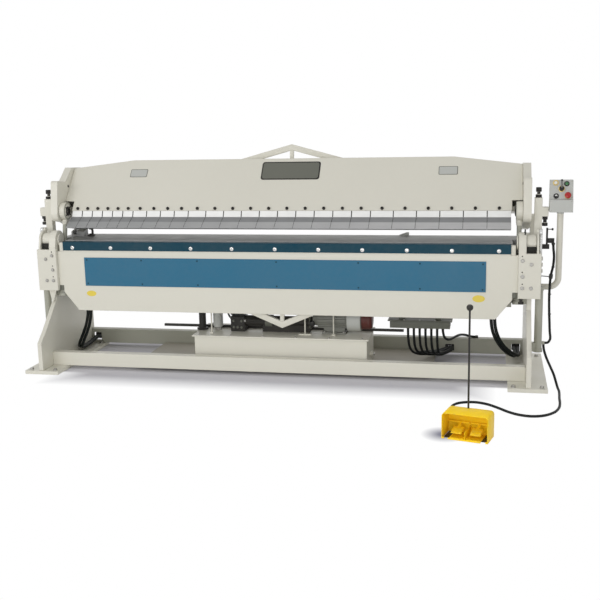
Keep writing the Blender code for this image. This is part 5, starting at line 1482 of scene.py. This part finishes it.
@dataclass
class EndGear:
    """The guide posts' adjusters, the limit switch's fittings, the pivots and the bolts of the two side plates."""

    bench: Bench
    post_x: float = 1.692
    post_y: float = 0.125
    stop_x: float = 1.735
    post_face: float = 1.7159
    plate_face: float = 1.6902
    boss_x: float = 1.5528
    neck_x: float = 1.575
    screw_ring: float = 0.041
    pipe_x: float = 1.609
    switch: Triple = (1.7915, 0.125, 0.8882)
    stroke: Triple = (0, -0.174787, -0.984606)

    def adjusters(self) -> None:
        """The black adjusting bolts on the posts and the stop screws under their shelves."""
        stacks = (
            ("post_adjuster", self.post_x, (
                ([(1.18, 0.02), (1.1825, 0.0222), (1.1965, 0.0222), (1.199, 0.02)], 6),
                ([(1.197, 0.0105), (1.22, 0.0105)], 16),
                ([(1.2165, 0.0175), (1.219, 0.02), (1.2415, 0.02), (1.245, 0.0165)], 6),
            )),
            ("stop_screw", self.stop_x, (
                ([(0.9975, 0.0165), (1.0, 0.0198), (1.0165, 0.0198), (1.018, 0.0175)], 6),
                ([(1.016, 0.0115), (1.041, 0.0115)], 16),
                ([(1.039, 0.0165), (1.041, 0.0188), (1.0585, 0.0188), (1.0602, 0.017)], 6),
            )),
        )
        for side, sign in SIDES:
            for name, x, rounds in stacks:
                parts = [turned(profile, (sign * x, self.post_y, 0.0), UP, sides) for profile, sides in rounds]
                self.bench.fit(f"{name}_{side}", Paint.BLACK, *parts)

    def side_bolts(self) -> None:
        """The hexagon bolts that hold the posts to the side plates, and the caps of the rear pivots."""
        bench = self.bench
        for side, sign in SIDES:
            out = (sign, 0, 0)
            places = [
                facing((sign * self.post_face, 0.125, z), out, 0.3 * i) for i, z in enumerate((0.705, 0.745, 0.785))
            ]
            places += [facing((sign * self.plate_face, y, 0.735), out, 0.5 * i) for i, y in enumerate((0.5, 0.565))]
            places.append(facing((sign * self.plate_face, 0.562, 0.85), out, 0.2))
            bench.fit(f"post_bolts_{side}", Paint.CREAM, copies(hex_bolt(0.024, 0.011, 0.0185), places))
            profile = [(0.0, 0.04), (0.006, 0.04), (0.008, 0.038), (0.008, 0.028), (0.011, 0.026)]
            cap = turned(profile, (sign * 1.6935, 0.56, 0.98), out, 32)
            screw = copies(hex_bolt(0.018, 0.008), [facing((sign * 1.7044, 0.56, 0.98), out)])
            # the caps take the darker cream: painted shade
            bench.fit(f"pivot_cap_{side}", Paint.SHADE, cap, screw)

    def eyes(self) -> None:
        """The painted bosses of the lift rods, which ride up and down with them."""
        bench = self.bench
        opened = Matrix.Rotation(-OPEN_ANGLE, 4, "X") @ Vector((0.0, EYE[0] - PIVOT.y, EYE[1] - PIVOT.z))
        centre = PIVOT + opened
        boss = [(0.0, 0.048), (0.003, 0.048), (0.0032, 0.059), (0.005, 0.0615), (0.041, 0.0615), (0.0433, 0.0592)]
        neck = [(0.0, 0.0215), (0.014, 0.0215), (0.018, 0.019), (0.03, 0.019), (0.034, 0.017)]
        for side, sign in SIDES:
            body = Body.ROD_LEFT if sign < 0 else Body.ROD_RIGHT
            inner = centre + Vector((sign * self.boss_x, 0, 0))
            hole = turned([(-0.01, 0.0337), (0.06, 0.0337)], inner, (sign, 0, 0), 32)
            bench.fit(f"rod_eye_{side}", Paint.CREAM, cut(turned(boss, inner, (sign, 0, 0), 40), hole), body=body)
            spots = [
                inner + self.screw_ring * Vector((0, math.cos(a), math.sin(a)))
                for a in map(math.radians, (40, 140, 220, 320))
            ]
            screws = copies(cap_screw(0.0052, 0.005), [facing(spot, (-sign, 0, 0)) for spot in spots])
            bench.fit(f"eye_screws_{side}", Paint.BLACK, screws, body=body)
            fork = turned(neck, centre + Vector((sign * self.neck_x, -0.0107, -0.0602)), self.stroke)
            bench.fit(f"rod_neck_{side}", Paint.CREAM, fork, body=body)

    def switch_gear(self) -> None:
        """The lead gland, the cover, the foot and the roller of the limit switch."""
        bench = self.bench
        hexagon = turned([(0.0, 0.0115), (0.01, 0.0115), (0.012, 0.01)], self.switch, DOWN, 6)
        bench.fit("switch_gland", Paint.KNOB, hexagon, turned([(0.01, 0.009), (0.024, 0.0068)], self.switch, DOWN, 14))
        cover = box((1.7585, 1.7955), (0.1135, 0.1155), (0.8895, 0.9165), 0.0008)
        spots = [(x, 0.1136, z) for x in (1.7615, 1.7925) for z in (0.8925, 0.9135)]
        bench.fit(
            "switch_cover", Paint.KNOB, cover,
            *(turned([(0.0, 0.0022), (0.0012, 0.0018)], spot, FRONT, 10) for spot in spots),
        )
        bench.fit("switch_foot", Paint.BLACK, box((1.7163, 1.767), (0.114, 0.136), (0.849, 0.879), 0.0015))
        roller = [(0.0, 0.0062), (0.003, 0.0075), (0.009, 0.0075), (0.012, 0.0062)]
        bench.fit("switch_roller", Paint.KNOB, turned(roller, (1.7785, 0.125, 0.976), RIGHT, 18))

    def grease_pipes(self) -> None:
        """The black grease pipe that curls over the right hinge block's cheek, and its nipple."""
        bench, x = self.bench, self.pipe_x
        curl = ((-0.01, 0.968), (-0.012, 0.982), (-0.019, 0.99), (-0.028, 0.988), (-0.033, 0.978), (-0.035, 0.955))
        pipe = bench.line(smooth_path([(x, y, z) for y, z in curl]), 0.0042)
        bench.fit("grease_pipe", Paint.BLACK, pipe, body=Body.APRON)
        nipple = turned([(0.0, 0.0072), (0.006, 0.0072), (0.008, 0.005), (0.012, 0.005)], (x, -0.01, 0.9665), UP, 6)
        bench.fit("grease_nipple", Paint.BLACK, nipple, body=Body.APRON)

    def build(self) -> None:
        """Makes every piece at the machine's ends."""
        self.adjusters()
        self.side_bolts()
        self.eyes()
        self.switch_gear()
        self.grease_pipes()


@dataclass
class BedGear:
    """The small fittings that stand on the bed and the bolts that hold it."""

    bench: Bench
    bed_z: float = 0.8997
    hook: tuple[Pair, ...] = (
        (-1.456, 0.906), (-1.43, 0.906), (-1.43, 0.944), (-1.4385, 0.9555), (-1.456, 0.9555), (-1.456, 0.947),
        (-1.443, 0.947), (-1.44, 0.942), (-1.44, 0.918), (-1.456, 0.918),
    )
    wedge: tuple[Pair, ...] = ((0.779, 0.8997), (0.845, 0.8997), (0.845, 0.9215), (0.83, 0.9215), (0.779, 0.904))

    def build(self) -> None:
        """Makes the hook beside the sheet stop, the rear stop and the bed's bolts."""
        bench = self.bench
        foot = box((-1.468, -1.425), (0.236, 0.276), (self.bed_z, 0.91))
        stem = plate([(x, 0.244, z) for x, z in self.hook], (0, 0.02, 0), 0.0015)
        bench.fit("bed_hook", Paint.BLACK, foot, stem)
        stop = plate([(x, 0.346, z) for x, z in self.wedge], (0, 0.034, 0), 0.0015)
        bench.fit("rear_stop", Paint.PENDANT, stop, slot="ground_steel")
        places = [facing((x, 0.262, 0.9495), (0, 0.21, 1)) for x in (-1.54, -1.51)]
        bench.fit("stop_plate_screws", Paint.BLACK, copies(cap_screw(0.0062, 0.006), places))
        places = [facing((-1.35 + 0.3 * n, 0.3499, z), BACK, 0.3 * n) for n in range(10) for z in (0.53, 0.825)]
        bench.fit("girder_bolts", Paint.ZINC, copies(hex_bolt(0.024, 0.01, 0.018), places))
        spots = [(sign * x, y, 0.0249) for _, sign in SIDES for x in (1.553, 1.728) for y in (-0.245, 0.54)]
        places = [facing(spot, UP, 0.4 * i) for i, spot in enumerate(spots)]
        bench.fit("foot_bolts", Paint.ZINC, copies(hex_bolt(0.022, 0.011, 0.0165), places))


@dataclass
class PowerPack:
    """The fittings of the tank, the motor, the pump and the valves."""

    bench: Bench
    deck: float = 0.2523
    depth: float = 0.15
    motor_x: float = 0.245
    body: float = 0.202
    cowl: float = 0.097
    valve_x: float = -0.375
    filter_x: float = -0.48
    return_x: float = -0.595
    filter_pipe: Route = (
        (-0.48, 0.15, 0.39), (-0.48, 0.15, 0.412), (-0.47, 0.15, 0.432), (-0.448, 0.15, 0.437), (-0.425, 0.15, 0.428),
        (-0.412, 0.15, 0.405), (-0.404, 0.15, 0.37), (-0.392, 0.15, 0.345), (-0.37, 0.15, 0.34),
    )
    pump_pipe: Route = (
        (-0.278, 0.112, 0.33), (-0.262, 0.1, 0.33), (-0.235, 0.092, 0.334), (-0.19, 0.092, 0.338),
        (-0.13, 0.096, 0.338), (-0.1, 0.112, 0.33), (-0.09, 0.13, 0.322),
    )

    def motor(self) -> None:
        """The red cap and the shroud of the fan cowl, the black connection box and the foot's bolts."""
        bench, x, y, axis = self.bench, self.motor_x, self.depth, self.deck + 0.1
        cap = [(0.0032, 0.072), (0.0045, 0.0716), (0.056, 0.0716), (0.066, 0.065), (0.0735, 0.0575), (0.0755, 0.048)]
        bench.fit("motor_cap", Paint.RED, turned(cap, (x + self.body + self.cowl, y, axis), RIGHT, 32))
        shroud = [(0.0, 0.0845), (0.003, 0.0865), (0.088, 0.0865), (0.092, 0.0845)]
        bench.fit("cowl_shroud", Paint.PENDANT, turned(shroud, (x + self.body + 0.003, y, axis), RIGHT, 36))
        shell = box((0.19, 0.222), (0.074, 0.112), (0.312, 0.34))
        neck = turned([(0.0, 0.0075), (0.01, 0.0075), (0.018, 0.0055)], (0.206, 0.092, 0.3125), DOWN, 12)
        bench.fit("plug_box", Paint.KNOB, shell, neck)
        lid = box((x + 0.046, x + 0.134), (y - 0.039, y + 0.039), (axis + 0.104, axis + 0.11))
        spots = [(x + dx, y + dy, axis + 0.1099) for dx in (0.052, 0.128) for dy in (-0.033, 0.033)]
        dots = [turned([(0.0, 0.003), (0.002, 0.0026)], spot, UP, 10) for spot in spots]
        bench.fit("terminal_lid", Paint.MOTOR, lid, *dots)
        places = [facing((x, y + dy, self.deck + 0.0119), UP, 0.2) for x in (0.29, 0.425) for dy in (-0.043, 0.043)]
        bench.fit("motor_bolts", Paint.ZINC, copies(hex_bolt(0.013, 0.006, 0.01), places))

    def filter(self) -> None:
        """The ribbed sleeve of the oil filter and its nut."""
        bench = self.bench
        profile = [(0.0235, 0.033)]
        for low in (0.028 + step * 0.0112 for step in range(8)):
            profile += [(low, 0.033), (low + 0.001, 0.0352), (low + 0.0065, 0.0352), (low + 0.0075, 0.033)]
        profile += [(0.1205, 0.033), (0.1215, 0.0352), (0.13, 0.0352), (0.134, 0.03), (0.1395, 0.019)]
        bench.fit("filter_sleeve", Paint.PENDANT, turned(profile, (self.filter_x, self.depth, self.deck), UP, 28))
        nut = [(0.0, 0.0245), (0.018, 0.0245), (0.02, 0.0215)]
        bench.fit("filter_nut", Paint.ZINC, turned(nut, (self.filter_x, self.depth, self.deck - 0.0002), UP, 6))

    def valves(self) -> None:
        """The solenoids on the valve bank, the pipes between filter, valve and pump, and the pump's flange."""
        bench, parts = self.bench, []
        x, top = self.valve_x, self.deck + 0.15
        for y in (self.depth - 0.032, self.depth + 0.002):
            parts.append(box((x + 0.006, x + 0.05), (y, y + 0.03), (top - 0.044, top - 0.012), 0.003))
            parts.append(
                turned([(0.0, 0.0105), (0.01, 0.0105), (0.012, 0.0085)], (x + 0.007, y + 0.015, top - 0.028), LEFT, 14)
            )
        bench.fit("valve_coils", Paint.KNOB, *parts)
        spots = ((0.022, 0.03), (0.05, 0.03), (0.078, 0.03), (0.022, 0.075), (0.078, 0.075))
        plugs = [facing((x + dx, self.depth - 0.0449, self.deck + z), FRONT, 0.5) for dx, z in spots]
        bench.fit("valve_plugs", Paint.BOX, copies(hex_bolt(0.014, 0.007, 0.0095), plugs), slot="ground_steel")
        flange, collar = [(0.0, 0.05), (0.009, 0.05), (0.01, 0.0485)], [(0.0, 0.044), (0.05, 0.044), (0.052, 0.042)]
        rounds = [turned(profile, (at, self.depth, self.deck + 0.07), RIGHT, 28)
                  for profile, at in ((flange, self.motor_x - 0.062), (collar, -0.13))]
        bench.fit("pump_flange", Paint.BOX, *rounds, slot="black_oxide")
        for name, points in (("filter_pipe", self.filter_pipe), ("pump_pipe", self.pump_pipe)):
            bench.fit(name, Paint.BLACK, bench.line(smooth_path(points), 0.0065))
        ends = (
            ((self.filter_x, 0.15, 0.39), UP),
            ((self.valve_x + 0.001, 0.15, 0.34), LEFT),
            ((self.valve_x + 0.099, 0.11, 0.33), (1, -0.5, 0)),
        )
        nuts = [turned([(0.0, 0.0115), (0.014, 0.0115), (0.016, 0.0095)], spot, way, 6) for spot, way in ends]
        bench.fit("pipe_nuts", Paint.ZINC, *nuts)

    def tank(self) -> None:
        """The screws of the tank's lid, the hexagon on its drain plug and the collar of the return pipe."""
        bench = self.bench
        bench.fit("lid_edge", Paint.CREAM, box((-0.6145, 0.6145), (-0.045, -0.0415), (0.2425, 0.2518), 0.001))
        places = [
            facing((-0.57 + 0.228 * i, y, self.deck - 0.0004), UP, 0.2 * i) for i in range(6) for y in (-0.022, 0.322)
        ]
        bench.fit("lid_screws", Paint.ZINC, copies(hex_bolt(0.01, 0.005, 0.008), places))
        plug = [(0.0245, 0.011), (0.033, 0.011), (0.035, 0.0095)]
        bench.fit("drain_hexagon", Paint.ZINC, turned(plug, (0.5995, 0.14, 0.112), RIGHT, 6))
        base = [(0.0, 0.04), (0.011, 0.04), (0.013, 0.036)]
        band = [(0.15, 0.0282), (0.151, 0.0295), (0.163, 0.0295), (0.164, 0.0282)]
        collar = turned(base, (self.return_x, self.depth, self.deck - 0.0002), UP, 28)
        bench.fit("return_collar", Paint.BLACK, collar, turned(band, (self.return_x, self.depth, self.deck), UP, 24))

    def junction(self) -> None:
        """The screws of the junction box's flanged lid and its front panel."""
        bench = self.bench
        places = [facing((0.7285 + 0.1046 * n, y, 0.3519), UP, 0.3) for n in range(5) for y in (0.1425, 0.2775)]
        bench.fit("junction_screws", Paint.ZINC, copies(hex_bolt(0.008, 0.004, 0.006), places))
        bench.fit("junction_panel", Paint.BOX, box((0.744, 1.131), (0.1478, 0.1503), (0.302, 0.341), 0.001))

    def build(self) -> None:
        """Makes every piece of the power pack and the junction box."""
        self.motor()
        self.filter()
        self.valves()
        self.tank()
        self.junction()


@dataclass
class Pendant:
    """The rings, marks and screws of the control pendant, and its tube."""

    bench: Bench
    foot: Triple = (1.83, 0.082, 1.175)
    head: Triple = (1.83, 0.11, 1.29)
    tube_r: float = 0.02
    bend_r: float = 0.06
    white: Pair = (-0.036, 0.101)
    green: Pair = (0.031, 0.095)
    split: Pair = (-0.033, 0.017)
    stop: Pair = (0.038, 0.02)
    selector: Pair = (0.0, 0.063)

    def panel(self, x: float = 0.0, y: float = 0.0) -> Matrix:
        """The matrix of a place on the sloped panel: X across, Y up the slope, Z out of it.

        Args:
            x: the way across from the panel's middle.
            y: the way up the slope.

        Returns:
            The matrix.
        """
        foot = Vector(self.foot)
        up = (Vector(self.head) - foot).normalized()
        turn = Matrix((Vector(RIGHT), up, Vector(RIGHT).cross(up))).transposed().to_4x4()
        return Matrix.Translation(foot) @ turn @ Matrix.Translation((x, y, 0.0))

    def rings(self) -> None:
        """A bezel ring round each control."""
        bench = self.bench
        for name, place, radius, hole, rise, paint in (
            ("ring_white", self.white, 0.0172, 0.0113, 0.0046, Paint.BRASS),
            ("ring_green", self.green, 0.0165, 0.0113, 0.0046, Paint.KNOB),
            ("ring_split", self.split, 0.0165, 0.0113, 0.0046, Paint.KNOB),
            ("ring_stop", self.stop, 0.02, 0.0092, 0.0044, Paint.BRASS),
            ("ring_selector", self.selector, 0.0195, 0.0145, 0.004, Paint.BRASS),
        ):
            made = turned([(-0.0002, radius), (rise * 0.7, radius), (rise, radius * 0.9)], sides=28)
            made = cut(made, turned([(-0.01, hole), (0.02, hole)], sides=24))
            bench.fit(name, paint, move(made, self.panel(*place)), slot="grey_paint")

    def controls(self) -> None:
        """The caps and marks that move with the buttons, the stop button and the selector."""
        bench = self.bench
        half = [(0.0085 * math.cos(a), 0.0085 * math.sin(a), 0.0058) for a in (math.radians(15 * i) for i in range(13))]
        cap = [(0.0056, 0.0098), (0.007, 0.0096), (0.0078, 0.008), (0.0081, 0.005)]
        dome = [(0.0118, 0.0186), (0.014, 0.0197), (0.019, 0.0197), (0.022, 0.0172), (0.024, 0.0118), (0.0247, 0.005)]
        for name, made, place, body, paint in (
            ("split_mark", plate(half, (0, 0, 0.0007), 0), self.split, Body.BUTTON_SPLIT, Paint.WHITE),
            ("white_cap", turned(cap, sides=24), self.white, Body.BUTTON_WHITE, Paint.WHITE),
            ("green_cap", turned(cap, sides=24), self.green, Body.BUTTON_GREEN, Paint.GREEN),
            ("stop_cap", turned(dome, sides=32), self.stop, Body.STOP, Paint.MUSHROOM),
            (
                "selector_line", box((-0.001, 0.001), (0.006, 0.05), (0.0162, 0.017), 0), self.selector, Body.SELECTOR,
                Paint.WHITE,
            ),
        ):
            bench.fit(name, paint, move(made, self.panel(*place)), body=body)

    def build(self) -> None:
        """Makes every piece of the pendant."""
        bench, x, y = self.bench, self.foot[0], 0.13
        self.rings()
        self.controls()
        spots = [self.panel(dx, dy) for dx in (-0.064, 0.064) for dy in (0.008, 0.11)]
        spots += [facing((x + dx, 0.0619, z), FRONT) for dx in (-0.062, 0.062) for z in (1.1, 1.16)]
        screws = copies(turned([(0.0, 0.0034), (0.0012, 0.003)], sides=12), spots)
        bench.fit("panel_screws", Paint.ZINC, screws, slot="grey_paint")
        collar = [(1.078, 0.0215), (1.08, 0.023), (1.0895, 0.023)]
        bench.fit("pendant_collar", Paint.PENDANT, turned(collar, (x, y, 0.0), UP, 28))
        flange = [(0.0, 0.042), (0.007, 0.042), (0.009, 0.04), (0.009, 0.027), (0.018, 0.024)]
        bench.fit("arm_flange", Paint.CREAM, turned(flange, (1.6602, y, 0.6), RIGHT, 28), slot="grey_paint")
        r, angles = self.bend_r, [math.radians(7.5 * i) for i in range(13)]
        bend = [(1.77 + r * math.sin(a), y, 0.66 - r * math.cos(a)) for a in angles]
        tube = bench.line([(1.6603, y, 0.6), *bend, (x, y, 1.0897)], self.tube_r)
        bench.fit("pendant_tube", Paint.CREAM, tube, slot="grey_paint", node="pendant_arm")
        bench.fit("pendant_back", Paint.PENDANT, box((1.764, 1.896), (0.159, 0.164), (1.098, 1.282)))


@dataclass
class FootSwitch:
    """The hooded foot switch on the floor, with its two flap pedals and its carrying pole."""

    bench: Bench
    corner: Pair = (1.155, -1.179)
    yaw: float = math.radians(-14)
    width: float = 0.254
    depth: float = 0.134
    height: float = 0.146
    sheet: float = 0.004
    bend: float = 0.02
    flap_width: float = 0.059
    rib_z: float = 0.029
    rib_slope: float = 0.3065
    flap: tuple[Pair, ...] = ((0.018, 0.03), (0.018, 0.0345), (0.08, 0.0535), (0.08, 0.049))
    arm: tuple[Pair, ...] = ((0.07, 0.0462), (0.07, 0.05), (0.12, 0.068), (0.12, 0.06))
    pole: tuple[Pair, ...] = (
        (0.125, 0.0055), (0.676, 0.0055), (0.6765, 0.009), (0.6805, 0.014), (0.6865, 0.0172), (0.693, 0.0185),
        (0.6995, 0.0172), (0.705, 0.0136), (0.7085, 0.008),
    )

    def fit(self, name: str, paint: Paint, *parts: Mesh, body: Body = Body.FRAME, node: str = "") -> None:
        """Turns parts that were drawn square, puts them on their place on the floor and fits them as one piece."""
        place = Matrix.Translation((*self.corner, 0.0)) @ Matrix.Rotation(self.yaw, 4, "Z")
        self.bench.fit(name, paint, move(join(*parts), place), body=body, node=node)

    def arch(self, inset: float, low: float, y: float) -> list[Triple]:
        """The front view of the hood, a box with two rounded top corners.

        Args:
            inset: how far inside the hood's outside it runs.
            low: the height of its bottom.
            y: the depth at which it is drawn.

        Returns:
            Its points.
        """
        left, right, radius = inset, self.width - inset, self.bend - inset
        high = self.height - inset - radius
        points = [(left, y, low), (right, y, low)]
        for middle, start in ((right - radius, 0), (left + radius, 90)):
            for angle in (math.radians(start + 11.25 * step) for step in range(9)):
                points.append((middle + radius * math.cos(angle), y, high + radius * math.sin(angle)))
        return points

    def hood(self) -> None:
        """The bent yellow hood with its divider, base plate and corner flanges."""
        width, depth = self.width, self.depth
        shell = plate(self.arch(0.0, 0.0, 0.0), (0, depth, 0), 0)
        inside = plate(self.arch(self.sheet, -0.01, -0.01), (0, depth + 0.01 - self.sheet, 0), 0)
        boxes = (
            ((width / 2 - 0.0013, width / 2 + 0.0013), (0.004, depth - 0.002), (0.002, 0.05), 0.0005),
            ((0.04, width - 0.04), (-0.006, depth - 0.006), (0.0022, 0.006), 0.0008),
            ((0.038, width - 0.038), (-0.0085, -0.005), (0.0022, 0.0125), 0.0008),
            ((0.001, 0.014), (0.001, 0.012), (0.0, 0.0085), 0.0008),
            ((width - 0.014, width - 0.001), (0.001, 0.012), (0.0, 0.0085), 0.0008),
        )
        shell = bevel(cut(shell, inside), 0.0012)
        self.fit("foot_hood", Paint.YELLOW, shell, *(box(*spans) for spans in boxes), node="pedal_guard")

    def flaps(self) -> None:
        """The two flap pedals, each with its arm, its ribs and its length of the axle."""
        middle = self.width / 2
        for name, start, inset, body in (
            ("left", self.sheet, 0.042, Body.PEDAL_LEFT),
            ("right", middle + 0.002, 0.0215, Body.PEDAL_RIGHT),
        ):
            low, high = start + inset, start + inset + self.flap_width
            arm = plate([(low + 0.022, y, z) for y, z in self.arm], (0.015, 0, 0), 0)
            flap = plate([(low, y, z) for y, z in self.flap], (self.flap_width, 0, 0), 0.0012)
            rises = [(y, self.rib_z + y * self.rib_slope) for y in (0.026, 0.036, 0.046, 0.056)]
            ribs = [rod((low + 0.005, y, z), (high - 0.005, y, z), 0.0012, 8, 0.0004) for y, z in rises]
            axle = rod((start + 0.001, 0.12, 0.064), (start + middle - 0.007, 0.12, 0.064), 0.0062)
            self.fit(f"foot_flap_{name}", Paint.YELLOW, flap, arm, axle, *ribs, body=body, node=f"pedal_{name}")

    def build(self) -> None:
        """Makes every piece of the foot switch."""
        self.hood()
        pole = turned(self.pole, (self.width / 2 - 0.014, self.depth - 0.009, 0.012), UP, 24)
        # a dark sheet on the floor inside the hood: painted shade
        ground = box((0.006, self.width - 0.006), (0.022, self.depth - 0.006), (0.0004, 0.002), 0)
        gland = [(-0.001, 0.012), (0.022, 0.012), (0.026, 0.0105), (0.047, 0.0092)]
        self.fit("foot_pole_and_shade_sheet", Paint.BLACK, pole, ground, turned(gland, (0.03, self.depth, 0.03), BACK, 16))
        self.flaps()


def each_side(*names: str) -> tuple[str, ...]:
    """Each name with the endings of the machine's two sides."""
    return tuple(f"{name}_{side}" for name in names for side, _ in SIDES)


class Dressing:
    """Gives each CAD node that is shown its finish and soft shading."""

    NODES: dict[Paint, tuple[str, ...]] = {
        Paint.CREAM: (
            "apron_plate", "clamp_beam", "front_beam", "oil_tank",
            *each_side("clamp_arm", "foot_plate", "guide_post", "hinge_block", "pivot_post", "side_plate", "trunnion"),
        ),
        # the girder, the rear beam, the lift rods and the cylinders take the darker cream: painted shade
        Paint.SHADE: ("bed_girder", "rear_beam", *each_side("lift_rod", "apron_cylinder", "clamp_cylinder")),
        Paint.TRAY: ("tray_plate",),
        Paint.BLUE: ("apron_cover",),
        Paint.BAR: ("blade_bar",),
        Paint.FINGER: ("fingers_narrow", "fingers_small", "fingers_medium", "fingers_wide"),
        Paint.BED: ("bed_top_plate",),
        Paint.ROD: each_side("apron_rod"),
        Paint.BLACK: ("return_pipe", "tie_bar", "valve_block", "limit_switch"),
        Paint.MOTOR: ("motor",),
        Paint.PENDANT: ("oil_filter", "pendant_box"),
        Paint.BOX: ("junction_box",),
        Paint.WHITE: ("button_white",),
        Paint.GREEN: ("button_green",),
        Paint.KNOB: ("button_split", "selector_lever"),
        Paint.MUSHROOM: ("stop_button",),
    }
    EDGES: dict[float, tuple[str, ...]] = {
        0.005: each_side("clamp_arm"),
        0.004: ("clamp_beam", "pendant_box"),
        0.003: ("front_beam", "rear_beam", *each_side("hinge_block", "guide_post")),
        0.002: (
            "apron_plate", "oil_tank", "junction_box", *each_side("side_plate", "foot_plate", "pivot_post", "trunnion"),
        ),
        0.0015: ("bed_top_plate",),
        0.001: ("blade_bar", "motor"),
        0.0008: ("apron_cover",),
    }

    def __init__(self, palette: Palette, nodes: dict[str, Mesh]) -> None:
        """Keeps the finishes and the nodes.

        Args:
            palette: the machine's finishes.
            nodes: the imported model's nodes by name.
        """
        self.palette = palette
        self.nodes = nodes

    @staticmethod
    def soften(node: Mesh, width: float) -> None:
        """Rounds a node's cut edges with live modifiers, which leave its own mesh as it is.

        Args:
            node: the node's object.
            width: the width of the rounded edge.
        """
        weld = node.modifiers.new("weld", "WELD")
        weld.merge_threshold = 0.00002
        edge = node.modifiers.new("edge", "BEVEL")
        edge.width = width
        edge.segments = 2
        edge.limit_method = "ANGLE"
        edge.angle_limit = math.radians(40)

    def build(self) -> None:
        """Dresses and softens every node that the two tables name."""
        for paint, names in self.NODES.items():
            for name in names:
                node = self.nodes[name]
                if not node.material_slots:
                    node.data.materials.append(self.palette[paint])
                for slot in node.material_slots:
                    slot.material = self.palette[paint]
                LOG.info("%s is painted in %s", name, paint.value)
        for width, names in self.EDGES.items():
            for name in names:
                self.soften(self.nodes[name], width)
        bpy.ops.object.select_all(action="DESELECT")


def main() -> None:
    """Builds the whole scene, one sub-assembly after the other."""
    logging.basicConfig(level=logging.INFO, format="%(name)s: %(message)s")
    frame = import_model()
    bpy.ops.object.select_all(action="DESELECT")
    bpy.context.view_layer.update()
    place = Vector(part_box("foot_plate_left")[0]) - FOOT_CORNER
    palette = Palette(place)
    bench = Bench(palette, place)
    Studio().build()
    Dressing(palette, frame["nodes"]).build()
    for assembly in (Harness, Clamp, Apron, EndGear, BedGear, PowerPack, Pendant, FootSwitch):
        assembly(bench).build()
        LOG.info("%s is done, %d pieces so far", assembly.__name__, bench.count)


if __name__ == "__main__":
    main()
